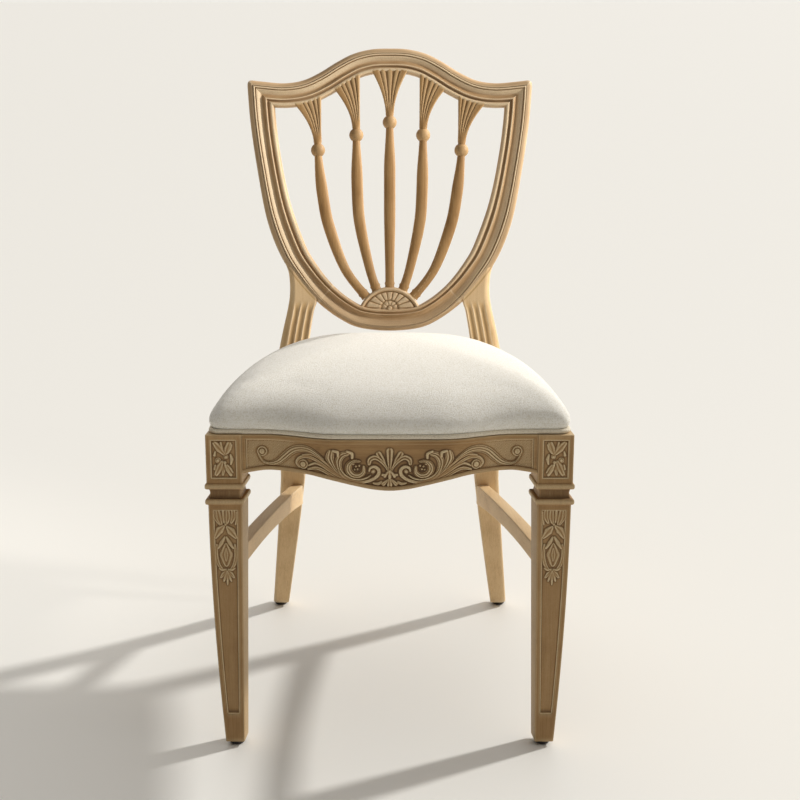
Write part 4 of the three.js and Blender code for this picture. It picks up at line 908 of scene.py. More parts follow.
def make_posts():
    foot = glideHeight + fit
    leg = np.linspace(foot + postArris, splayHeight, 40)
    knee = np.linspace(splayHeight, rearSeatFoot, 12)[1:]
    block = [rearSeatFoot + squareRing, railTop - sideRailHeight - fit, railTop + fit]
    rises = np.linspace(0, 1, 110)
    table = spline(columns(postRiseShares, postOuterShares, postInnerShares), np.linspace(0, 1, 41))[0]
    outers = postCentre + postWidth * np.interp(rises, table[:, 0], table[:, 1])
    inners = postCentre + postWidth * np.interp(rises, table[:, 0], table[:, 2])
    for name, side in sides:
        rings = [rear_leg_ring(side, foot + postSeamGap, postArris)]
        rings += [rear_leg_ring(side, z, 0.0) for z in [*leg, *knee, *block]]
        rings += [post_ring(side, *row) for row in zip(rises, outers, inners)]
        spots, flow, wear_and_painted_light = (list(rows) for rows in zip(*rings))
        points, faces = tube(spots)
        flow, wear_and_painted_light = np.concatenate(flow), np.concatenate(wear_and_painted_light)
        # The posts and rear legs take the lighter copy of the beech, a painted light.
        piece(name + "_post", points, faces, painted_lit_wood, "wood", [name + "_back_post"], flow, wear_and_painted_light)


# Ribs

centreAxisShares = ((0, 1.06), (0, 0.84), (0, 0.52), (0, 0.2), (0, 0.15))
innerAxisShares = ((0.238, 1.03), (0.236, 0.785), (0.227, 0.53), (0.205, 0.41), (0.14, 0.245), (0.09, 0.16))
outerAxisShares = (
    (0.508, 0.97),
    (0.506, 0.72),
    (0.47, 0.53),
    (0.425, 0.41),
    (0.315, 0.247),
    (0.165, 0.135),
)
ribShapes = {
    "centre": {"axis": centreAxisShares, "ball": 0.833, "neck": 0.862},
    "inner": {"axis": innerAxisShares, "ball": 0.783, "neck": 0.812},
    "outer": {"axis": outerAxisShares, "ball": 0.722, "neck": 0.755},
}

# The sunk field of a head as shares of its width, and the middle and half width of each leaf in it
centreLeafShares = ((0.21, 0.79), ((0.305, 0.075), (0.5, 0.085), (0.695, 0.075)))
sideLeafShares = ((0.12, 0.68), ((0.205, 0.065), (0.39, 0.085), (0.58, 0.08)))
ribs = (
    ("centre_rib", 1, "centre", centreSpread, centreSpread, centreLeafShares),
    ("left_inner_rib", -1, "inner", 0, innerSpread, sideLeafShares),
    ("right_inner_rib", 1, "inner", 0, innerSpread, sideLeafShares),
    ("left_outer_rib", -1, "outer", 0, outerSpread, sideLeafShares),
    ("right_outer_rib", 1, "outer", 0, outerSpread, sideLeafShares),
)


def up_at(share):
    return shieldFoot + share * earRise


def rod_half(share):
    foot = lerp(rodFoot, ribSocket, smoothstep(share, rodSocketShare, 1))
    upper = lerp(rodTop, rodSwell, smoothstep(share, 0, rodSwellShare))
    lower = np.maximum(lerp(rodSwell, rodFoot, smoothstep(share, 0.5, rodSocketShare)), foot)
    return np.where(share < rodSwellShare, upper, lower)


def crest_inner_line():
    """The line on the crest's inner bead where the heads of the ribs end."""
    point, _, normal, width = outline_frames(crestCurve, np.linspace(0, 1, 500), -1)
    edge = point + normal * (width - headLap)[:, None]
    return edge[np.argsort(edge[:, 0])]


def leaf_front(shares, flare, field, leaves):
    """Depth and painted light of each place of a head: thin leaves in a sunk field between smooth bands."""
    low, high = field
    inside = (shares > low) & (shares < high)
    band = np.where(shares <= low, shares / low, (1 - shares) / (1 - high))
    depth = np.where(inside, headFlute, 0.35 * headFlute * (2 * np.clip(band, 0, 1) - 1) ** 4)
    # The sunk field is painted dark, and the leaves and the band edges beside it pale: a painted shade and
    # painted highlights.
    wear_and_painted_light = np.where(inside, -0.45, 0.35 * np.clip(2 * band - 1, 0, 1) ** 2)
    lens = math.sin(math.pi * min(0.95, 0.2 + 0.75 * flare)) ** 0.6
    for middle, half in leaves:
        half = half * (0.45 + 0.6 * lens)
        place = np.abs(shares - middle) / half
        rise = np.sqrt(np.clip(1 - place**2, 0, 1))
        depth = np.where(place < 1, headFlute * (1 - 0.85 * rise), depth)
        wear_and_painted_light = np.where(place < 1, 0.6 * rise - 0.3, wear_and_painted_light)
    open_share = float(smoothstep(flare, 0.04, 0.3))
    return depth * open_share, wear_and_painted_light * open_share


def rib_section(left, right, head, flare, field, leaves):
    """Across, depth and painted light of one section: leaves in front on the head, round on the rod."""
    shares = np.linspace(0, 1, 81)
    turn = np.sin(np.pi * shares)
    round_front = ribMidDepth - rodDepth / 2 * turn**0.3
    edge = np.minimum(shares, 1 - shares) * (right - left)
    roll = headRoll * (1 - np.sqrt(np.clip(1 - (1 - edge / headRoll) ** 2, 0, 1))) * (edge < headRoll)
    carved_depth, wear_and_painted_light = leaf_front(shares, flare, field, leaves)
    flat = headFront + roll + carved_depth
    front = columns(lerp(left, right, shares), lerp(round_front, flat, head))
    back_shares = np.linspace(1, 0, 25)[1:-1]
    round_back = ribMidDepth + rodDepth / 2 * np.sqrt(np.sin(np.pi * back_shares))
    rounded = headBack - headBackRound * (2 * back_shares - 1) ** 6
    back = columns(lerp(left, right, back_shares), lerp(round_back, rounded, head))
    return np.concatenate([front, back]), np.concatenate([head * wear_and_painted_light, np.zeros(len(back))])


def foot_swell(left):
    """How much the foot of a rod stands out at a distance from its end: a small collar, then a flare."""
    collar = collarSwell * math.exp(-(((left - collarPlace) / collarSpan) ** 2))
    return collar + footFlare * max(0, 1 - left / footFlareSpan) ** 2


def rib_rings(side, shape, inward, outward, field, leaves):
    axis = np.array([(side * a * shieldHalf, up_at(b)) for a, b in shape["axis"]])
    point, along = spline(axis, np.linspace(0, 1, 260))
    centre_up = shieldFoot + fanCentreRise
    clear = np.hypot(point[:, 0], point[:, 1] - centre_up) > fanRadius - footLap
    point, along = point[clear], along[clear]
    neck, ball = up_at(shape["neck"]), up_at(shape["ball"])
    head, foot = axis[0][1], axis[-1][1]
    run = lengths(point)
    spots, depths, wears_and_painted_light = [], [], []
    for i in range(len(point)):
        across = np.array([-along[i][1], along[i][0]])
        across = -across if across[0] < 0 else across
        up = point[i][1]
        flare = float(np.clip((up - neck) / (head - neck), 0, 1))
        below = np.clip((ball - up) / (ball - foot), 0, 1)
        half = headHalfWidth if flare > 0 else float(rod_half(below)) + foot_swell(run[-1] - run[i])
        spread = flare**flarePower
        to_left = half + spread * (inward if side > 0 else outward)
        to_right = half + spread * (outward if side > 0 else inward)
        head_share = float(smoothstep(flare, 0, 0.22))
        plan, wear_and_painted_light = rib_section(-to_left, to_right, head_share, flare, field, leaves)
        spots.append(point[i] + across * plan[:, :1])
        depths.append(plan[:, 1])
        wears_and_painted_light.append(wear_and_painted_light)
    return np.array(spots), np.array(depths), np.array(wears_and_painted_light), point, run


def held_under(spots, line):
    """Ends each lengthwise line of a rib where it meets a line across its top."""
    limit = np.interp(spots[..., 0], line[:, 0], line[:, 1])
    over = spots[..., 1] - limit
    for i in range(len(spots) - 2, -1, -1):
        crossed = over[i] > 0
        step = spots[i] - spots[i + 1]
        share = np.clip(-over[i + 1] / np.maximum(over[i] - over[i + 1], 1e-9), 0, 1)
        spots[i] = np.where(crossed[:, None], spots[i + 1] + step * share[:, None], spots[i])
        over[i] = np.where(crossed, 0, over[i])
    return spots, np.all(over[:-1] == 0, axis=1) & np.all(over[1:] == 0, axis=1)


def make_ribs():
    line = crest_inner_line()
    for name, side, kind, inward, outward, (field, leaves) in ribs:
        shape = ribShapes[kind]
        if side < 0:
            field = (1 - field[1], 1 - field[0])
            leaves = [(1 - middle, half) for middle, half in leaves]
        spots, depths, wears_and_painted_light, point, run = rib_rings(side, shape, inward, outward, field, leaves)
        spots, spare = held_under(spots, line)
        first = int(spare.sum())
        rings = on_back(spots[..., 0], spots[..., 1], depths)[first:]
        rod = tube(rings)
        flow = columns(spots[..., 0], depths, -run[:, None])[first:]
        at_ball = int(np.argmin(np.abs(point[:, 1] - up_at(shape["ball"]))))
        orb = sphere(on_back(*point[at_ball], ribMidDepth).reshape(3), ballRadius)
        points, faces = joined(rod, orb)
        grain = np.concatenate([flow.reshape(-1, 3), orb[0] + (0, 0, ballGrain)])
        wear_and_painted_light = np.concatenate([wears_and_painted_light[first:].ravel(), np.full(len(orb[0]), 0.1)])
        piece(name + "_carved", points, faces, shaded_carved_wood, "wood", [name], grain, wear_and_painted_light, sharp=40)


def sphere(centre, radius):
    around = np.linspace(0, 2 * math.pi, ballColumns + 1)[:-1]
    rings = []
    for angle in np.linspace(0.02, math.pi - 0.02, 25):
        flat = radius * math.sin(angle)
        ring = columns(flat * np.cos(around), flat * np.sin(around), radius * math.cos(angle))
        rings.append(ring + centre)
    return tube(rings)


# Fan rosette


def lobes(turn, power):
    """Rounded lobes side by side, one for each whole number of turn: 1 in the middle and 0 between them."""
    place = np.abs((turn + 0.5) % 1 - 0.5) * 2
    return np.sqrt(np.clip(1 - place**power, 0, 1))


def fan_rings():
    """Rings of the rosette from its hub to its back, and their painted light: a dome, petals, lobes and a
    rim, pale where they stand out and dark between them.
    """
    hub_up = shieldFoot + fanHubRise
    around = np.linspace(0, 2 * math.pi, 481)[:-1]
    rise = fanHubRise - fanCentreRise
    run = rise * np.sin(around)
    reach = np.sqrt(run**2 + fanRadius**2 - rise**2) - run
    inner = reach - fanRimWidth - fanRimGap
    bend = np.abs(np.angle(np.exp(1j * (around - math.pi / 2))))
    outward = 0.5 + (bend - fanCentreLobe) / fanLobeTurn
    lobe = lobes(np.where(bend < fanCentreLobe, bend / fanCentreLobe * 0.5, outward), 4)
    petal = lobes(bend / fanHubLobeTurn, 4)
    rings, wears_and_painted_light = [], []

    def add(radius, depth, wear_and_painted_light):
        rings.append(columns(radius * np.cos(around), hub_up + radius * np.sin(around), depth))
        wears_and_painted_light.append(np.broadcast_to(wear_and_painted_light, around.shape))

    for share in np.linspace(0.15, 1, 9):
        depth = fanFront - fanDomeSink + fanDomeRise * share**4
        add(fanHubRadius * 0.62 * share, depth, 0.45 - 1.2 * share**4)
    for share in np.linspace(0, 1, 12):
        full = math.sin(math.pi * min(share * 0.8 + 0.12, 1)) ** 0.5
        depth = fanFront + fanPetalSink - fanPetalRise * full * petal
        add(fanHubRadius * lerp(0.68, 1.75, share), depth, 0.9 * full * petal - 0.4)
    for share in np.linspace(0, 1, 30):
        full = min(1, share * 7) ** 0.5 * min(1, (1 - share) * 9) ** 0.5
        depth = fanFront + fanLobeDepth - (fanLobeDepth + fanLobeOver) * full * lobe
        add(lerp(fanHubRadius * 1.8, inner, share), depth, 0.95 * full * lobe**2 - 0.45)
    for share in np.linspace(0, 1, 11):
        high = math.sin(math.pi * share)
        depth = fanFront + fanRimSink - fanRimRise * high
        add(reach - fanRimWidth * (1 - share), depth, 0.55 * high - 0.1)
    add(reach, fanBack - fanBackArris, 0.0)
    add(reach - fanBackArris, fanBack, 0.0)
    return rings, wears_and_painted_light


def make_fan():
    rings, wears_and_painted_light = fan_rings()
    points, faces = tube(rings)
    spots, _, normal, width = outline_frames(flankCurve, np.linspace(0.36, 0.64, 15), 1)
    edge = spots + normal * (width - fanSeat)[:, None]
    planes = list(zip(edge, -normal))
    grain = points[:, [1, 2, 0]]
    body = cut_body(points, grain, np.concatenate(wears_and_painted_light), faces, planes)
    piece("fan_carved", *body[:2], wood, "wood", ["fan_rosette"], *body[2:], sharp=45)


# Carving

# A stroke has its route, its half widths along it, its height, its count of veins and how much it is
# hollowed. A boss has its place, radius, height and ring.
strokeMargin = 1.0
strokeSteps = 6
reliefFull = 3.0
panelFlat = 1.4
stippleAcross = 3.1
stippleUp = 2.9
stippleDepth = 0.22


def stroke(x, z, path, widths, height, veins, hollow):
    """Height of one carved stroke over each place: rounded along a smooth line, with veins cut along it,
    or hollowed between its rims."""
    path = np.asarray(path, float)
    shares = np.linspace(0, 1, (len(path) - 1) * strokeSteps + 1)
    line = spline(path, shares)[0] if len(path) > 2 else lerp(path[0], path[1], shares[:, None])
    half = np.interp(shares, np.linspace(0, 1, len(widths)), widths)
    result = np.zeros(x.shape)
    reach = half.max() + strokeMargin
    low, high = line.min(axis=0) - reach, line.max(axis=0) + reach
    near = (x > low[0]) & (x < high[0]) & (z > low[1]) & (z < high[1])
    spots = np.stack([x[near], z[near]], axis=1)
    best = np.full(len(spots), 9.0)
    side_of = np.zeros(len(spots))
    for start, end, wide_start, wide_end in zip(line[:-1], line[1:], half[:-1], half[1:]):
        step = end - start
        size = float(step @ step)
        t = np.clip((spots - start) @ step / size, 0, 1)
        gap = spots - start - t[:, None] * step
        wide = lerp(wide_start, wide_end, t)
        share = np.linalg.norm(gap, axis=1) / wide
        cross = (step[0] * gap[:, 1] - step[1] * gap[:, 0]) / math.sqrt(size) / wide
        closer = share < best
        best = np.where(closer, share, best)
        side_of = np.where(closer, cross, side_of)
    body = np.clip(1 - best**2, 0, 1) ** 0.5
    rise = height * body * (1 - hollow * np.clip(1 - (best / 0.72) ** 2, 0, 1))
    if veins:
        wave = (0.5 - 0.5 * np.cos(math.pi * veins * (side_of + 1))) ** 3
        rise = rise - 0.4 * height * wave * (best < 0.9)
    result[near] = np.clip(rise, 0, None)
    return result


def boss(x, z, place, radius, height, ring):
    """A round boss, with a groove inside its rim where ring gives a depth."""
    share = np.hypot(x - place[0], z - place[1]) / radius
    rise = height * np.clip(1 - share**2, 0, 1) ** 0.4
    return np.clip(rise - ring * np.exp(-(((share - 0.62) / 0.13) ** 2)), 0, None)


def relief_of(x, z, strokes, bosses, fullness=1.0):
    relief = np.zeros(x.shape)
    for path, widths, height, veins, hollow in strokes:
        widths = np.asarray(widths, float) * fullness
        relief = np.maximum(relief, stroke(x, z, path, widths, height, veins, hollow))
    for place, radius, height, ring in bosses:
        relief = np.maximum(relief, boss(x, z, place, radius, height, ring))
    return relief


def softened(field, reach):
    """A grid blurred by a square window, twice."""
    for axis in (0, 1, 0, 1):
        pad = [(reach, reach) if side == axis else (0, 0) for side in (0, 1)]
        total = np.cumsum(np.pad(field, pad, mode="edge"), axis=axis)
        total = np.concatenate([np.zeros_like(np.take(total, [0], axis)), total], axis=axis)
        count = field.shape[axis]
        late = np.take(total, np.arange(2 * reach + 1, 2 * reach + 1 + count), axis)
        field = (late - np.take(total, np.arange(count), axis)) / (2 * reach + 1)
    return field


def relief_light_and_shade(relief, reach=3):
    """Paler on what stands out of its surroundings, darker in what lies below them: partly waxed, partly a
    painted highlight and painted shade of the relief.
    """
    stand = relief - softened(relief, reach)
    return np.clip(stand * 2.1, -0.7, 0.9) + 0.3 * np.clip(relief / reliefFull, 0, 1)


scrolls = (
    (
        (
            (-177.1, 432.9), (-171.8, 424.5), (-162.2, 421.6), (-151.2, 424.8), (-142, 432.8),
            (-132.1, 442), (-120.4, 446.6), (-108.8, 445.8), (-98.6, 440.6), (-89.8, 434.4),
        ),
        (1.4, 1.8, 2.8, 4.6, 5.4, 5.4, 5.2, 4.4, 3.2, 1.6), 2.6, 3, 0,
    ),
    (
        (
            (-117.9, 438), (-106.3, 439.6), (-96.1, 436.4), (-86.1, 429.2), (-76, 420.7),
            (-63.5, 411.6), (-51, 405),
        ),
        (0.8, 1.6, 2, 2, 1.8, 1.6, 1), 1.7, 0, 0,
    ),
    (
        (
            (-122.1, 420.4), (-125.6, 426.6), (-120.6, 433.6), (-110.2, 436.2), (-100, 433),
            (-89.9, 426.8), (-79.8, 419.8), (-69.8, 413), (-58.5, 407.6),
        ),
        (1.2, 2, 2.4, 2.6, 2.4, 2.2, 2, 1.6, 1), 2.3, 0, 0.3,
    ),
    (
        (
            (-109.1, 423.9), (-100.1, 427.9), (-91.2, 425.2), (-83.6, 420), (-73.6, 413.6),
            (-63.5, 408.6), (-51, 404.4),
        ),
        (1.2, 1.7, 1.8, 1.7, 1.5, 1.3, 0.8), 1.8, 0, 0,
    ),
    (
        (
            (-109.8, 418.4), (-98.9, 421.2), (-88.7, 418.2), (-76.1, 411), (-63.6, 405.6), (-51, 401.4),
            (-35.9, 399.2),
        ),
        (1.4, 2.4, 2.6, 2.4, 2, 1.6, 0.8), 2.1, 1, 0,
    ),
    (
        (
            (-79.4, 443.4), (-80.2, 436.4), (-76.6, 427.2), (-70.4, 418.1), (-60.4, 410.3),
        ),
        (4.8, 6, 3.8, 2.2, 1), 3, 3, 0.35,
    ),
    (((-76.1, 447), (-69.8, 444.8), (-69.3, 439.4)), (1.8, 2.4, 1.8), 3.1, 0, 0),
    (
        (
            (-56.4, 443.2), (-63.9, 440.6), (-68.6, 433), (-68, 424.1), (-63.5, 414.9), (-55.4, 408.7),
            (-44.7, 404.7),
        ),
        (3.4, 4.8, 5, 4, 3, 2, 1), 3, 3, 0.35,
    ),
    (((-57, 446.2), (-50.9, 443), (-50.4, 437)), (1.8, 2.4, 1.8), 3.1, 0, 0),
    (
        (
            (-40.1, 432), (-48.3, 432.4), (-54.6, 427.1), (-54.9, 419.2), (-49.4, 412.9),
            (-40.9, 412.2), (-35.2, 417.5), (-35.1, 424.8),
        ),
        (1.2, 2.8, 4.4, 5, 5, 4.4, 3.4, 1.8), 2.8, 3, 0,
    ),
    (
        (
            (-69.1, 422.8), (-64.8, 413.9), (-56, 407.3), (-45.3, 403.4), (-33.4, 403.6),
            (-22.6, 407.3), (-15.6, 413.4), (-15, 420.4), (-20.2, 424.6), (-26, 423), (-27.6, 418.6),
        ),
        (1.2, 1.8, 2.2, 2.4, 2.4, 2.4, 2.5, 2.5, 2.3, 1.9, 1.2), 3, 0, 0.3,
    ),
    (
        (
            (-66.6, 422.1), (-60.4, 413.6), (-51.6, 408.7), (-41.5, 406.8), (-32.1, 408.7),
            (-25.8, 412.9),
        ),
        (0.8, 1.2, 1.4, 1.5, 1.4, 0.8), 3, 0, 0,
    ),
    (
        (
            (-27.6, 428.6), (-26.4, 434.6), (-19.9, 437.6), (-12.3, 433.6), (-5.4, 425.6), (-1.6, 418),
        ),
        (2.2, 3.2, 3.4, 2.8, 2, 1), 2.8, 1, 0.2,
    ),
    (((-14.6, 442.4), (-9.4, 433.4), (-4.2, 422.5)), (4, 3.2, 1), 2.6, 1, 0.3),
    (((0, 446.6), (0, 434), (0, 419.5)), (4.8, 3.8, 1.2), 3, 1, 0.3),
    (((0, 418), (0, 409.5)), (2.6, 2.4), 2.6, 0, 0),
    (((-2.2, 417), (-6.6, 411.2)), (1.8, 2.2), 2.4, 0, 0),
    (((-3.2, 414), (-9.6, 413.2)), (1.2, 2), 2, 0, 0),
    (((0, 407), (0, 399)), (2, 4), 2.6, 1, 0),
    (((-2.2, 406.4), (-8.6, 400.4)), (1.4, 3), 2.4, 1, 0),
    (((-22, 401.6), (-16, 400.6), (-11, 403.4)), (1.2, 2.4, 1.4), 2, 1, 0),
)
scrollBosses = (
    ((-173, 438.6), 7.2, 3.1, 1.3),
    ((-116.8, 425), 7, 3.1, 1.3),
    ((-48.9, 428.6), 1.5, 3.4, 0),
    ((-45.2, 425.4), 1.5, 3.4, 0),
    ((-43.1, 421.5), 1.4, 3.3, 0),
    ((-46.8, 421.1), 1.3, 3.2, 0),
    ((-40.8, 426.3), 1.4, 3.2, 0),
    ((-22.2, 418.4), 3.2, 1.8, 0.6),
    ((0, 412.6), 2.6, 3.2, 0.8),
)


def rail_relief(x, z):
    """Scrolls, leaves and a shell, the same to both sides of the middle."""
    return relief_of(-np.abs(x), z, scrolls, scrollBosses)


blockLeaves = (
    (((1.2, 7), (-5.2, 15), (-11.6, 22.6)), (1.5, 4.4, 2.4), 2.2, 1, 0),
    (((3, 7.6), (5.4, 14.6), (7.8, 21.4)), (1.4, 3.6, 3), 2.2, 1, 0),
    (((5.6, 8.2), (9, 14.4), (11.4, 20.2)), (0.8, 1.8, 1), 1.8, 0, 0),
    (((-0.9, 10), (-2.6, 17.2), (-3.4, 23.2)), (0.8, 1.6, 1.2), 1.5, 0, 0),
    (((-1.9, -3.2), (-5.6, -11.6), (-10.4, -21.4)), (1.4, 4.2, 2.2), 2.2, 1, 0),
    (((1.9, -7.2), (5.2, -14), (9.4, -22)), (1.2, 2.8, 1.8), 2.3, 0, 0),
    (((4.9, -8), (9, -13.6), (12, -18.8)), (0.8, 1.5, 0.9), 1.8, 0, 0),
    (((0.2, -10.4), (-0.6, -16.6), (-1.6, -22)), (0.8, 1.9, 1.3), 1.7, 1, 0),
    (((9.6, 6.2), (11, 0), (9.8, -7)), (1, 2.1, 1), 1.8, 0, 0),
    (((-11.2, 10.6), (-12.2, 5.6)), (1, 1.6), 1.6, 0, 0),
    (((-11.4, -8.4), (-12.4, -14)), (1, 1.5), 1.6, 0, 0),
)
blockBosses = (((3.4, 3.6), 3.2, 2.6, 1.0), ((1.6, -4.6), 2.2, 2.2, 0), ((-7.4, -1.6), 4, 2, 0.9))

legLeaves = (
    (((-16.6, 355.4), (-14.4, 344.5), (-8, 333.6)), (1.4, 2.4, 1), 1.8, 1, 0),
    (((-10.7, 353.6), (-8.8, 342.6), (-6.2, 334.4)), (3.2, 4.2, 1.4), 2.1, 1, 0),
    (((-3.4, 354.4), (-3, 345.5), (-2.2, 337)), (1.8, 2.4, 1), 1.8, 0, 0),
    (((3, 353.6), (3.2, 344.5), (1.4, 336)), (2.8, 3.8, 1.2), 2.1, 1, 0),
    (((10.6, 354), (10.8, 345.5), (7.4, 336.6)), (2.8, 3.6, 1.2), 2.1, 1, 0),
    (((15.4, 352), (15.2, 343.6), (13.4, 334.2)), (1.2, 1.8, 1), 1.6, 0, 0),
    (((-2.2, 332.4), (-8.8, 325.8), (-14.6, 315.4)), (1, 4.6, 1.8), 2.3, 1, 0),
    (((1.4, 331.4), (7, 324.2), (13.8, 315.2)), (1, 4.6, 1.8), 2.3, 1, 0),
    (((0.6, 316), (4.6, 307.4), (9.7, 299.6)), (1, 2.4, 1.2), 1.8, 0, 0),
    (((-1.8, 316), (-6.6, 307.4), (-11.4, 299.6)), (1, 2.4, 1.2), 1.8, 0, 0),
    (((-0.4, 306), (-0.6, 290), (-0.5, 275.4)), (1, 7.4, 2.4), 2.2, 0, 0.75),
    (((-0.4, 299.4), (-0.6, 290), (-0.6, 281)), (0.9, 3.2, 1), 2, 1, 0),
    (((-12.8, 304.7), (-14, 290.4), (-11.6, 276.6), (-5.4, 267)), (1.2, 2, 2.2, 1), 1.7, 1, 0),
    (((11.8, 304.7), (12.8, 290.4), (10.4, 276.6), (4.4, 267)), (1.2, 2, 2.2, 1), 1.7, 1, 0),
    (((-0.6, 267), (-5, 262), (-9, 256.6)), (1, 2.4, 1.2), 1.9, 1, 0),
    (((-0.2, 266), (-2.6, 258), (-4.8, 251.4)), (0.9, 2, 1), 1.9, 0, 0),
    (((0.2, 266.4), (0.2, 257), (0, 246)), (0.8, 1.8, 0.8), 1.9, 0, 0),
    (((0.6, 266), (3, 258), (5.2, 251.4)), (0.9, 2, 1), 1.9, 0, 0),
    (((1, 267), (5.4, 262), (9.2, 256.6)), (1, 2.4, 1.2), 1.9, 1, 0),
    (((-1, 268.6), (-6.4, 267.8), (-10.6, 270)), (0.8, 1.7, 0.9), 1.6, 0, 0),
    (((1.4, 268.6), (6.6, 268), (10.8, 270.4)), (0.8, 1.7, 0.9), 1.6, 0, 0),
)
legBosses = (((-0.4, 334.4), 1.8, 2.3, 0), ((10.4, 300.4), 1.3, 1.8, 0))


def stipple(x, z):
    """Punched ground: small pits in crooked rows."""
    jitter = np.sin(x * 0.9) * 1.1 + np.sin(z * 1.3 + 1.7) * 0.9
    return stippleDepth * np.sin(x * stippleAcross + jitter) * np.sin(z * stippleUp - jitter)


# Front legs

blockFoot = railTop - blockHeight
neckTop = blockFoot - collarHeight
neckFoot = neckTop - neckHeight
shaftTop = neckFoot - collarHeight
legFoot = glideHeight + fit
legOuterTaper = legTopWidth - legFootWidth - legInnerTaper


def shaft_outer(z):
    share = (shaftTop - z) / shaftTop
    return frontWidth / 2 - legShaftSet - legOuterTaper * np.maximum(share, 0) ** outerTaperPower


def shaft_inner(z):
    share = (shaftTop - z) / shaftTop
    return frontWidth / 2 - legShaftSet - legTopWidth + legInnerTaper * share


def shaft_back(z):
    return lerp(legFootDepth, legTopDepth, z / shaftTop)


def leg_columns():
    """Places across the front: shares of both margins and of the panel, which sinks just inside them."""
    margin = np.linspace(0, 1, marginColumns)
    panel = np.linspace(0.01, 0.99, panelColumns)
    zones = np.repeat([0, 1, 2], [len(margin), len(panel), len(margin)])
    return zones, np.concatenate([margin, panel, margin])


def front_places(outer, inner):
    """Where the columns of the front lie across the leg."""
    zones, shares = leg_columns()
    edges = np.array([inner + legArris, inner + legPanelMargin, outer - legPanelMargin, outer - legArris])
    return lerp(edges[zones], edges[zones + 1], shares)


def panel_front(heights, outers, inners, low, high, carve):
    """How far each place of a front with a sunk panel stands out, and its painted light and shade. Rows are
    the heights.
    """
    zones, _ = leg_columns()
    across = np.array([front_places(outer, inner) for outer, inner in zip(outers, inners)])
    z = np.broadcast_to(np.asarray(heights, float)[:, None], across.shape)
    first = np.asarray(inners)[:, None] + legPanelMargin
    last = np.asarray(outers)[:, None] - legPanelMargin
    inside = (zones == 1)[None, :] & (z > low) & (z < high)
    edge = np.minimum(np.minimum(across - first, last - across), np.minimum(z - low, high - z))
    bead = panelBeadHeight * np.clip(1 - ((edge - panelBead) / panelBead) ** 2, 0, 1) ** 0.5
    raised = carve((first + last) / 2 - across, z)
    relief = np.maximum(raised, bead)
    stand = np.where(inside, relief - panelDepth + 0.25 * stipple(across, z) * (raised > 0), 0)
    # The panel's relief and bead are painted paler and its hollows darker: painted highlights and painted
    # shade.
    pale = relief_light_and_shade(np.where(inside, relief, panelFlat), 2) + 0.05 + 0.4 * (bead > 0.4)
    return across, stand, np.where(inside, pale, 0.0)


def leg_ring(side, z, outer, inner, front, back, across=None, stand=0.0, wear_and_painted_light=0.0):
    """One level of a front leg, with its painted light: pale arrises, a painted highlight."""
    outer_back = rounded_corner(outer, back, -1, -1, legArris, 4, True)
    inner_back = rounded_corner(inner, back, 1, -1, legArris, 4, False)
    inner_front = rounded_corner(inner, front, 1, 1, legArris, 4, True)[:-1]
    outer_front = rounded_corner(outer, front, -1, 1, legArris, 4, False)[1:]
    face = columns(front_places(outer, inner) if across is None else across, front - stand)
    plan = np.concatenate([outer_back, inner_back, inner_front, face, outer_front])
    start = len(outer_back) + len(inner_back) + len(inner_front)
    rub_and_painted_light = np.zeros(len(plan))
    rub_and_painted_light[[0, 7, 8, start, start + len(face) - 1, -1]] = 0.4
    rub_and_painted_light[start : start + len(face)] += wear_and_painted_light
    return columns(side * (plan[:, 0] - legShear * plan[:, 1]), plan[:, 1], z), rub_and_painted_light


def collar_rings(side, foot, top):
    rings = []
    for angle in np.linspace(-math.pi / 2, math.pi / 2, 13):
        reach = collarReach * (0.2 + 0.8 * math.cos(angle)) - collarSeat
        z = lerp(foot, top, (math.sin(angle) + 1) / 2)
        outer, inner = frontWidth / 2 + reach, frontWidth / 2 - blockWidth - reach
        ring, rub_and_painted_light = leg_ring(side, z, outer, inner, -reach, blockDepth + reach)
        # The collar is painted pale on its bulge and dark at its foot and top: a painted highlight and
        # painted shade.
        rings.append((ring, rub_and_painted_light + 0.55 * math.cos(angle) ** 2 - 0.3 * (math.cos(angle) < 0.3)))
    return rings


def panel_rings(side, heights, outers, inners, backs, low, high, carve):
    """Levels of a leg with a carved, sunk panel in its front."""
    across, stand, wear_and_painted_light = panel_front(heights, outers, inners, low, high, carve)
    rows = zip(heights, outers, inners, backs, across, stand, wear_and_painted_light)
    return [leg_ring(side, z, outer, inner, 0.0, back, *face) for z, outer, inner, back, *face in rows]


def shaft_rings(side):
    panel_top = shaftTop - legPanelTopGap
    low = np.linspace(legFoot + legArris, legPanelFootGap, 10)
    plain = np.linspace(legPanelFootGap + panelStep, carvedLegFoot, 110)
    rich = np.linspace(carvedLegFoot, panel_top - panelStep, 170)[1:]
    high = [panel_top, panel_top + panelEdgeStep, shaftTop - shaftTopBand, shaftTop]
    heights = np.concatenate([low, plain, rich, high])
    outers, inners, backs = shaft_outer(heights), shaft_inner(heights), shaft_back(heights)

    def carve(across, z):
        return relief_of(across, z, legLeaves, legBosses, leafFullness)

    outer, inner = outers[0] - legArris, inners[0] + legArris
    foot = [leg_ring(side, legFoot, outer, inner, legArris, legFootDepth - legArris)]
    return foot + panel_rings(side, heights, outers, inners, backs, legPanelFootGap, panel_top, carve)


def neck_rings(side):
    rings = []
    for share in np.linspace(0, 1, 9):
        z = lerp(neckFoot, neckTop, share)
        inset = neckInset + neckHollow * math.sin(math.pi * share)
        outer, inner = frontWidth / 2 - inset, frontWidth / 2 - blockWidth + inset
        ring, rub_and_painted_light = leg_ring(side, z, outer, inner, inset, blockDepth - inset)
        # The neck is painted darker, most at its ends: a painted shade in the hollow between the collars.
        rings.append((ring, rub_and_painted_light - 0.35 - 0.25 * abs(2 * share - 1)))
    return rings


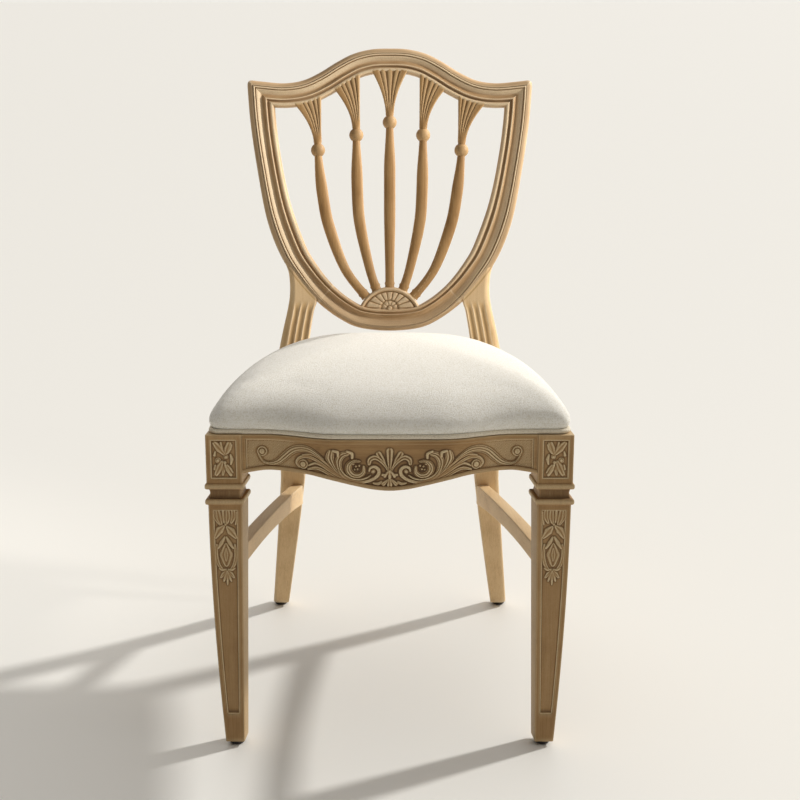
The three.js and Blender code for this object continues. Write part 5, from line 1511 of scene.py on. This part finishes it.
def block_rings(side):
    low, high = blockFoot + legPanelMargin, railTop - legPanelMargin
    panel = np.linspace(low - panelEdgeStep, high + panelEdgeStep, 92)
    heights = np.array([blockFoot, blockFoot + blockFootBand, *panel, railTop - blockTopBand, railTop])
    outers = np.full(len(heights), frontWidth / 2)
    middle = (low + high) / 2

    def carve(across, z):
        return relief_of(across, z - middle, blockLeaves, blockBosses, leafFullness)

    backs = np.full(len(heights), blockDepth)
    return panel_rings(side, heights, outers, outers - blockWidth, backs, low, high, carve)


def make_front_legs():
    for name, side in sides:
        rings = shaft_rings(side) + collar_rings(side, shaftTop + panelStep, neckFoot - panelStep)
        rings += neck_rings(side) + collar_rings(side, neckTop + panelStep, blockFoot - panelStep)
        spots, wear_and_painted_light = zip(*(rings + block_rings(side)))
        points, faces = tube(spots)
        wear_and_painted_light, grain = np.concatenate(wear_and_painted_light), points * (side, 1, 1)
        piece(name + "_leg", points, faces, shaded_carved_wood, "wood", [name + "_front_leg"], grain, wear_and_painted_light, sharp=50)


# Front rail

halfRail = frontWidth / 2 - blockWidth
lowerEdgeShares = (
    (0, 1),
    (0.12, 0.9),
    (0.25, 0.64),
    (0.385, 0.33),
    (0.52, 0.09),
    (0.63, 0.03),
    (0.74, 0),
    (0.84, 0.02),
)
bracketShares = ((0.93, 0.5), (1, 1))


def rail_foot(x):
    edge = [(a * halfRail, lerp(frontRailNarrow, frontRailDrop, d)) for a, d in lowerEdgeShares]
    edge += [(a * halfRail, lerp(frontRailNarrow, frontRailBracket, d)) for a, d in bracketShares]
    mirrored = (-edge[1][0], edge[1][1])
    table = spline([mirrored, *edge], np.linspace(1 / len(edge), 1, 90))[0]
    return railTop - np.interp(np.minimum(np.abs(x), halfRail), table[:, 0], table[:, 1])


def rail_section(x, foot, z_panel, stand, wear_and_painted_light):
    """One section of the front rail from its top edge down its front and round its back, and its painted
    light.
    """
    face = float(front_face(x))
    back = face + frontRailThickness
    top = [(face + railArris, railTop), (face + railNick, railTop - railNick), (face, railTop - railArris)]
    top += [(face, z) for z in np.linspace(railTop - railTopMargin, railTop - railBorder, 4)]
    panel = columns(face - stand, z_panel)
    lip = np.linspace(0, 0.9, 9)
    border = columns(face - railBead * np.sin(math.pi * lip) ** 0.6, foot + railBorder * (1 - lip))
    low = [(face + railBackNick, foot + railNick), (face + railArris, foot), (back, foot), (back, railTop)]
    section = np.concatenate([top, panel, border, low])
    rub_and_painted_light = np.zeros(len(section))
    # A pale nick at the top edge, a dark line where the border starts and a pale lip along the border:
    # painted highlights and a painted shade.
    rub_and_painted_light[1] = 0.3
    first, last = len(top), len(top) + len(wear_and_painted_light)
    rub_and_painted_light[first:last] = wear_and_painted_light
    rub_and_painted_light[last : last + len(lip)] = 0.45 * np.sin(math.pi * lip) - 0.05
    rub_and_painted_light[last] = -0.5
    return section, rub_and_painted_light


def make_front_rail():
    inner_end = halfRail - railBorder
    border = np.linspace(inner_end + railBorderStep, halfRail - fit, 6)
    stations = np.concatenate([-border[::-1], np.linspace(-inner_end, inner_end, 660), border])
    feet = rail_foot(stations)
    shares = np.linspace(0, 1, 112)[None, :]
    z = lerp(railTop - railBorder - panelStep, feet[:, None] + railBorder + panelStep, shares)
    x = np.broadcast_to(stations[:, None], z.shape)
    inside = np.abs(x) <= inner_end
    raised = rail_relief(x, z)
    ends = smoothstep(np.abs(x), railEndsFrom, railEndsTo)
    over_middle = smoothstep(z, railPlainFrom, railPlainTo) * (1 - ends)
    ground = -railGround * (1 - 0.75 * over_middle) + stipple(x, z) * ends
    edge = np.minimum(inner_end - np.abs(x), railTop - railBorder - z)
    line = railLine * np.clip(1 - ((edge - panelBead) / panelBead) ** 2, 0, 1) * ends
    relief = np.maximum(raised * (1 - 0.25 * over_middle), line)
    stand = np.where(inside, ground + relief, 0)
    # The plain punched ground at the ends is paler with dust, and its pits are painted darker and their
    # tops paler, a painted shade and highlight; outside the plain band under the seat all is a little
    # darker.
    dust = 0.5 * ends * (raised < 0.2) + 2.8 * ends * np.clip(stipple(x, z), -0.3, 0.3)
    wear_and_painted_light = np.where(inside, relief_light_and_shade(relief) - 0.1 * (1 - over_middle) + dust, 0)
    rings, wears_and_painted_light = [], []
    for i, station in enumerate(stations):
        section, rub_and_painted_light = rail_section(station, float(feet[i]), z[i], stand[i], wear_and_painted_light[i])
        reach = max(0, (abs(station) - inner_end) / railBorder)
        across = station - np.sign(station) * legShear * section[:, 0] * reach
        rings.append(columns(across, *section.T))
        wears_and_painted_light.append(rub_and_painted_light)
    points, faces = tube(rings)
    grain, wear_and_painted_light = points[:, [1, 2, 0]], np.concatenate(wears_and_painted_light)
    piece("front_rail_carved", points, faces, shaded_carved_wood, "wood", ["front_rail"], grain, wear_and_painted_light, sharp=50)


# Side rails, back rail and stretchers


def rounded_section(corners, arris, turns=4):
    """Points of a four-sided section with rounded corners, given as (across, up) pairs in order."""
    corners = np.asarray(corners, float)
    spots = []
    for i, corner in enumerate(corners):
        before = corners[i - 1] - corner
        after = corners[(i + 1) % len(corners)] - corner
        start = corner + before / np.linalg.norm(before) * arris
        end = corner + after / np.linalg.norm(after) * arris
        for share in np.linspace(0, 1, turns):
            spots.append((1 - share) ** 2 * start + 2 * share * (1 - share) * corner + share**2 * end)
    return np.array(spots)


def make_side_rails():
    for name, side in sides:
        rings = []
        for y in np.linspace(blockDepth + fit, seatDepth - fit, 60):
            outer, inner = float(side_outer(y)) - sideRailSet, float(side_inner(y))
            low = railTop - sideRailHeight
            corners = ((outer, railTop), (outer, low), (inner, low), (inner, railTop))
            plan = rounded_section(corners, railRound)
            rings.append(columns(side * plan[:, 0], y, plan[:, 1]))
        points, faces = tube(rings)
        piece(name + "_rail", points, faces, wood, "wood", [name + "_side_rail"], points[:, [0, 2, 1]])


def make_back_rail():
    end = rearWidth / 2 - postWidth - fit
    near = seatDepth + backRailSet
    rings = []
    for x in np.linspace(-end, end, 12):
        low = railTop - backRailHeight
        far = near + backRailThickness
        plan = rounded_section(((near, railTop), (near, low), (far, low), (far, railTop)), railRound)
        rings.append(columns(x, *plan.T))
    points, faces = tube(rings)
    piece("rear_rail", points, faces, wood, "wood", ["back_rail"], points[:, [1, 2, 0]])


def stretcher_top(share):
    return lerp(stretcherFrontTop, stretcherRearTop, share) + 4 * stretcherTopArch * share * (1 - share)


def stretcher_foot(share):
    start = stretcherFrontTop - stretcherFrontHeight
    end = stretcherRearTop - stretcherRearHeight
    return lerp(start, end, share) + 4 * stretcherUnderArch * share * (1 - share)


def make_stretchers():
    front_inner = float(shaft_inner(stretcherFrontTop)) - legShear * legTopDepth + stretcherInset
    rear_inner = float(rear_leg_inner(stretcherRearTop - stretcherRearHeight / 2)) + fit
    for name, side in sides:
        rings, grains = [], []
        for share in np.linspace(0, 1, 70):
            inner = lerp(front_inner, rear_inner, share)
            outer = inner + stretcherThickness
            top, foot = float(stretcher_top(share)), float(stretcher_foot(share))
            corners = ((outer, top), (outer, foot), (inner, foot), (inner, top))
            plan = rounded_section(corners, stretcherArris, 5)
            front = shaft_back(plan[:, 1]) + fit
            rear = rear_leg_front(plan[:, 1]) - fit
            y = lerp(front, rear, share)
            rings.append(columns(side * plan[:, 0], y, plan[:, 1]))
            grains.append(columns(plan[:, 0], plan[:, 1] - top, y))
        points, faces = tube(rings)
        nodes, grain = [name + "_side_stretcher"], np.concatenate(grains)
        # The stretchers take the lighter copy of the beech, a painted light.
        piece(name + "_stretcher", points, faces, painted_lit_wood, "wood", nodes, grain)


def make_glides():
    """A disc with a rounded edge under each foot, on a short nail."""
    shape = [(glideDimple, 0)] + [(glideRadius - inset, high) for inset, high in glideEdge]
    shape += [(glideRadius, glideHeight - glideTopEdge), (glideRadius - glideTopInset, glideHeight)]
    nail = glideHeight + glideNailLength
    shape += [(glideNailRadius, glideHeight), (glideNailRadius, nail)]
    shape += [(glideNailTip, nail + glideNailPoint)]
    around = np.linspace(0, 2 * math.pi, glidePoints + 1)[:-1]
    front_x = float(shaft_outer(0)) - legFootWidth / 2 - legShear * legFootDepth / 2
    rear_x = float(rear_leg_outer(0) + rear_leg_inner(0)) / 2
    rear_y = float(rear_leg_front(0)) + rearFootDepth / 2
    for name, side in sides:
        for end, x, y in (("front", front_x, legFootDepth / 2), ("rear", rear_x, rear_y)):
            rings = [columns(side * x + r * np.cos(around), y + r * np.sin(around), z) for r, z in shape]
            points, faces = tube(rings)
            piece(f"{name}_{end}_glide_disc", points, faces, nylon, "glide", [f"{name}_{end}_glide"])


# Seat

padRear = seatDepth + backRailSet + backRailThickness - padRearGap
padFoot = railTop + 2 * fit


def pad_side(y):
    return side_line(y, padBow) - padSet


def pad_outline(inset):
    """Plan of the pad, inset from its edge: bowed front and sides, and rounded corners."""
    corner = padCornerRadius
    front, rear = corner + frontRailSet, padRear - corner
    front_end, rear_end = float(pad_side(corner)) - corner, float(pad_side(rear)) - corner
    turn = np.linspace(0, math.pi / 2, 10)[1:-1]
    half = [(x, float(front_face(x))) for x in np.linspace(0, front_end, 40)]
    half += [(front_end + corner * math.sin(a), front - corner * math.cos(a)) for a in turn]
    half += [(float(pad_side(y)), y) for y in np.linspace(front, rear, 50)]
    turn = np.linspace(0, math.pi / 2, 8)[1:-1]
    half += [(rear_end + corner * math.cos(a), rear + corner * math.sin(a)) for a in turn]
    half += [(x, padRear) for x in np.linspace(rear_end, 0, 24)]
    half = np.array(half)
    plan = np.concatenate([half, half[-2:0:-1] * (-1, 1)])
    along = np.roll(plan, -1, axis=0) - np.roll(plan, 1, axis=0)
    along /= np.linalg.norm(along, axis=1)[:, None]
    return plan + columns(-along[:, 1], along[:, 0]) * inset


def pad_wall(y):
    share = np.clip(y / padRear, 0, 1)
    return padWallHeight * (1 - padRearDropShare * share**2)


crownShares = (0.96, 0.92, 0.87, 0.81, 0.74, 0.66, 0.57, 0.47, 0.36, 0.24, 0.12, 0.02)
tuckShares = ((0.15, 0.5), (0.4, 0.15), (0.75, 0), (1, 0))


def pad_form(inset):
    """Rings of the pad: tucked foot, short wall, round rim and crown."""
    rings = []

    def place(plan, scale, height, evened=0.0):
        even = frontRailSet - frontRailBow * (1 - (2 * plan[:, 0] / frontWidth) ** 2)
        shift = np.where(plan[:, 1] < padCornerRadius + frontRailSet, even - front_face(plan[:, 0]), 0)
        y = lerp(padCrownCentre, plan[:, 1] + padEvening * evened * shift, scale)
        return columns(plan[:, 0] * scale, y, padFoot + height(y))

    def tuck(y):
        return np.minimum(2 * weltRadius + fit, 0.7 * pad_wall(y))

    def roll_foot(y):
        return lerp(tuck(y), pad_wall(y), padRollFoot)

    def crown(share):
        return padCrown * (1 - share**2) ** padCrownPower - padSwell

    def rolled(scale, high):
        return lambda y: lerp(roll_foot(y), pad_wall(y) + crown(scale), high)

    tucked = pad_outline(inset + weltTuck)
    rings.append(place(tucked, 1, lambda y: 0 * y))
    rings.append(place(tucked, 1, tuck))
    for share, tuck_share in tuckShares:
        plan = pad_outline(inset + weltTuck * tuck_share)
        rings.append(place(plan, 1, lambda y, s=share: lerp(tuck(y), roll_foot(y), s)))
    rim = pad_outline(inset)
    for turn in np.linspace(0, math.pi / 2, 10)[1:]:
        scale = 1 - padRoll * (1 - math.cos(turn)) / padRollSpan
        rings.append(place(rim, scale, rolled(scale, math.sin(turn)), math.sin(turn)))
    for share in crownShares:
        scale = share * (1 - padRoll / padRollSpan)
        rings.append(place(rim, scale, lambda y, s=scale: pad_wall(y) + crown(s), 1.0))
    return np.array(rings)


def apply_modifiers(body):
    depsgraph = bpy.context.evaluated_depsgraph_get()
    mesh = bpy.data.meshes.new_from_object(body.evaluated_get(depsgraph))
    body.modifiers.clear()
    body.data = mesh


def spots_of(mesh):
    spots = np.empty(len(mesh.vertices) * 3)
    mesh.vertices.foreach_get("co", spots)
    return spots.reshape(-1, 3)


def blown(form, start):
    """Where a short cloth simulation with a little pressure takes the points of a form held at its foot."""
    held = form.vertex_groups.new(name="held")
    low = [int(i) for i in np.nonzero(start[:, 2] < (padFoot + clothHold) / METRE)[0]]
    held.add(low, 1.0, "REPLACE")
    cloth = form.modifiers.new("cloth", "CLOTH")
    cloth.settings.quality = 6
    cloth.settings.mass = 0.4
    cloth.settings.tension_stiffness = 25
    cloth.settings.compression_stiffness = 25
    cloth.settings.bending_stiffness = 6
    cloth.settings.use_pressure = True
    cloth.settings.uniform_pressure_force = 4
    cloth.settings.vertex_group_mass = "held"
    cloth.settings.effector_weights.gravity = 0
    cloth.point_cache.frame_start = 1
    cloth.point_cache.frame_end = clothFrames
    for number in range(1, clothFrames + 1):
        bpy.context.scene.frame_set(number)
    end = spots_of(form.evaluated_get(bpy.context.evaluated_depsgraph_get()).data)
    form.modifiers.clear()
    bpy.context.scene.frame_set(1)
    return end


def stuffed(points, faces, cap):
    """An even mesh of the pad, swollen by the simulation, in which each point moves by cap at most."""
    mesh = bpy.data.meshes.new("stuffing_form")
    mesh.from_pydata((points / METRE).tolist(), [], faces)
    form = bpy.data.objects.new("stuffing_form", mesh)
    bpy.context.scene.collection.objects.link(form)
    remesh = form.modifiers.new("remesh", "REMESH")
    remesh.mode = "VOXEL"
    remesh.voxel_size = clothGrid / METRE
    apply_modifiers(form)
    start = spots_of(form.data)
    step = blown(form, start) - start
    size = np.linalg.norm(step, axis=1)
    limit = np.minimum(1, cap / METRE / np.maximum(size, 1e-9))
    start = start + step * limit[:, None]
    corners = [list(face.vertices) for face in form.data.polygons]
    bpy.data.objects.remove(form)
    return start * METRE, corners


def make_cushion():
    points, faces = stuffed(*tube(pad_form(padSwell - padOver)), padSwell)
    body = piece("seat_cushion", points, faces, linen, "linen", ["seat_cover", "seat_foam"], sharp=60)
    smooth = body.modifiers.new("even", "SMOOTH")
    smooth.factor = 0.5
    smooth.iterations = 12
    finer = body.modifiers.new("finer", "SUBSURF")
    finer.levels = 1
    finer.render_levels = 1
    apply_modifiers(body)
    body.data.shade_smooth()


def make_welt():
    """A cord in cloth round the foot of the cushion, open at the back, a little uneven in thickness."""
    plan = pad_outline(weltTuck - weltRadius - fit)
    order = np.roll(plan, len(plan) // 2, axis=0)
    path = order[order[:, 1] < seatDepth - weltEndGap]
    height = railTop + fit + weltRadius + fit
    around = np.linspace(0, 2 * math.pi, weltPoints + 1)[:-1]
    run = lengths(path)
    along = np.gradient(path, axis=0)
    along /= np.linalg.norm(along, axis=1)[:, None]
    rings, grains = [], []
    for (x, y), (along_x, along_y), place in zip(path, along, run):
        radius = weltRadius * (1 + 0.02 * math.sin(place * 0.09) + 0.015 * math.sin(place * 0.31))
        out = radius * np.cos(around)
        rings.append(columns(x + along_y * out, y - along_x * out, height + radius * np.sin(around)))
        grains.append(columns(place + around * 3, around * weltRadius, 0))
    points, faces = tube(rings)
    piece("welt_cord", points, faces, welt_cloth, "linen", ["seat_welt"], np.concatenate(grains))


def dust_place(u, v):
    """A place of the dust cover, u from left to right and v from front to back."""
    y = lerp(0, seatDepth - dustEdge, v)
    half = float(side_inner(max(y, blockDepth))) - dustEdge
    half = min(half, halfRail - dustLegGap) if y < blockDepth + dustLegGap else half
    x = lerp(-half, half, u)
    front = float(front_face(x)) + frontRailThickness + dustEdge
    sag = dustSag * math.sin(math.pi * u) ** 0.7 * math.sin(math.pi * v) ** 0.7
    return x, lerp(front, seatDepth - dustEdge, v), railTop - dustDrop - sag


def make_dust_cover():
    """Thin black cloth under the board, held by its edge and sagging a little in the middle."""
    shares = np.linspace(0, 1, dustPoints)
    top = [dust_place(u, v) for v in shares for u in shares]
    index = np.arange(dustPoints**2).reshape(dustPoints, dustPoints)
    faces = columns(index[:-1, :-1], index[:-1, 1:], index[1:, 1:], index[1:, :-1]).reshape(-1, 4)
    body = piece("dust_cloth", top, faces.tolist(), cambric, "dust_cloth", ["dust_cover"])
    thick = body.modifiers.new("thick", "SOLIDIFY")
    thick.thickness = dustThickness / METRE
    apply_modifiers(body)


def dress_frame():
    """Materials for the nodes that stay as they are."""
    for name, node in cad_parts.items():
        if "screw" in name:
            material = steel
        elif "corner_block" in name or name == "seat_board":
            material = raw_wood
        elif "glide" in name:
            material = nylon
        elif name in ("seat_cover", "seat_welt", "seat_foam"):
            material = linen
        elif name == "dust_cover":
            material = cambric
        else:
            material = wood
        node.data.materials.clear()
        node.data.materials.append(material)


# Stage, light and camera

floorReach = 3000.0 * METRE
floorColour = "EFEDE7"
backdropColour = "F1EFE9"
skyColour = (1.0, 0.97, 0.93)
skyToward = (0.35, 0.6, 0.72)
skyLow = 0.08
skyHigh = 1.04
# The sun's turn, height and width and the lamp's spread are in degrees
sunTurn = 29
sunHeight = 34
sunWidth = 4
sunStrength = 2.46
sunColour = (0.98, 0.97, 0.95)
lampPlace = (2400.0, -400.0, 1600.0)
lampTarget = (0, 150.0, 840.0)
lampSize = 300.0
lampSpread = 26
lampWatts = 2.0
lampColour = (1.0, 0.95, 0.88)


def make_stage():
    mesh = bpy.data.meshes.new("floor")
    far = floorReach / METRE
    mesh.from_pydata([(-far, -far, 0), (far, -far, 0), (far, far, 0), (-far, far, 0)], [], [(0, 1, 2, 3)])
    floor = bpy.data.objects.new("floor", mesh)
    bpy.context.scene.collection.objects.link(floor)
    tree = Tree("pale_floor")
    tree.shader.inputs["Base Color"].default_value = rgba(floorColour)
    tree.shader.inputs["Roughness"].default_value = 0.55
    mesh.materials.append(tree.material)


def metres(place):
    return tuple(value / METRE for value in place)


def aimed(name, light, place, target):
    body = bpy.data.objects.new(name, light)
    body.location = place
    body.rotation_euler = (Vector(target) - Vector(place)).to_track_quat("-Z", "Y").to_euler()
    bpy.context.scene.collection.objects.link(body)


def make_sun():
    """A soft sun from the rear of the right."""
    light = bpy.data.lights.new("sun", "SUN")
    light.energy = sunStrength
    light.angle = math.radians(sunWidth)
    light.color = sunColour
    turn, height = math.radians(sunTurn), math.radians(sunHeight)
    flat = math.cos(height)
    aimed("sun", light, (math.cos(turn) * flat, math.sin(turn) * flat, math.sin(height)), (0, 0, 0))


def make_lamp():
    """A small lamp to the right, aimed at the back of the chair."""
    light = bpy.data.lights.new("side", "AREA")
    light.shape = "DISK"
    light.size = lampSize / METRE
    light.spread = math.radians(lampSpread)
    light.energy = lampWatts
    light.color = lampColour
    aimed("side", light, metres(lampPlace), metres(lampTarget))


def make_world():
    """A studio sky, brightest high to the rear of the right; the camera sees it as the floor's colour."""
    world = bpy.data.worlds.new("studio")
    bpy.context.scene.world = world
    world.use_nodes = True
    nodes, links = world.node_tree.nodes, world.node_tree.links
    sky = nodes["Background"]
    sky.inputs["Color"].default_value = (*skyColour, 1)
    way = nodes.new("ShaderNodeTexCoord")
    toward = nodes.new("ShaderNodeVectorMath")
    toward.operation = "DOT_PRODUCT"
    toward.inputs[1].default_value = skyToward
    bright = nodes.new("ShaderNodeMapRange")
    bright.inputs["To Min"].default_value = skyLow
    bright.inputs["To Max"].default_value = skyHigh
    plain = nodes.new("ShaderNodeBackground")
    plain.inputs["Color"].default_value = rgba(backdropColour)
    path = nodes.new("ShaderNodeLightPath")
    choice = nodes.new("ShaderNodeMixShader")
    links.new(way.outputs["Generated"], toward.inputs[0])
    links.new(toward.outputs["Value"], bright.inputs["Value"])
    links.new(bright.outputs["Result"], sky.inputs["Strength"])
    links.new(path.outputs["Is Camera Ray"], choice.inputs[0])
    links.new(sky.outputs["Background"], choice.inputs[1])
    links.new(plain.outputs["Background"], choice.inputs[2])
    links.new(choice.outputs["Shader"], nodes["World Output"].inputs["Surface"])


cameraDistance = 1943.0
cameraHeight = 1029.3
cameraPitch = 14.931
cameraLens = 67.5
sensorWidth = 36
imageSize = 800.0
principalX = 389.7


def make_camera():
    data = bpy.data.cameras.new("camera")
    data.lens = cameraLens
    data.sensor_width = sensorWidth
    data.shift_x = (imageSize / 2 - principalX) / imageSize
    camera = bpy.data.objects.new("camera", data)
    camera.location = (0, (-cameraDistance - originY) / METRE, cameraHeight / METRE)
    camera.rotation_euler = (math.radians(90 - cameraPitch), 0, 0)
    bpy.context.scene.collection.objects.link(camera)
    bpy.context.scene.camera = camera


make_camera()
make_stage()
make_world()
make_sun()
make_lamp()
dress_frame()
make_shield()
make_posts()
make_ribs()
make_fan()
make_front_legs()
make_front_rail()
make_side_rails()
make_back_rail()
make_stretchers()
make_glides()
make_cushion()
make_welt()
make_dust_cover()

bpy.context.scene.view_settings.view_transform = "Standard"
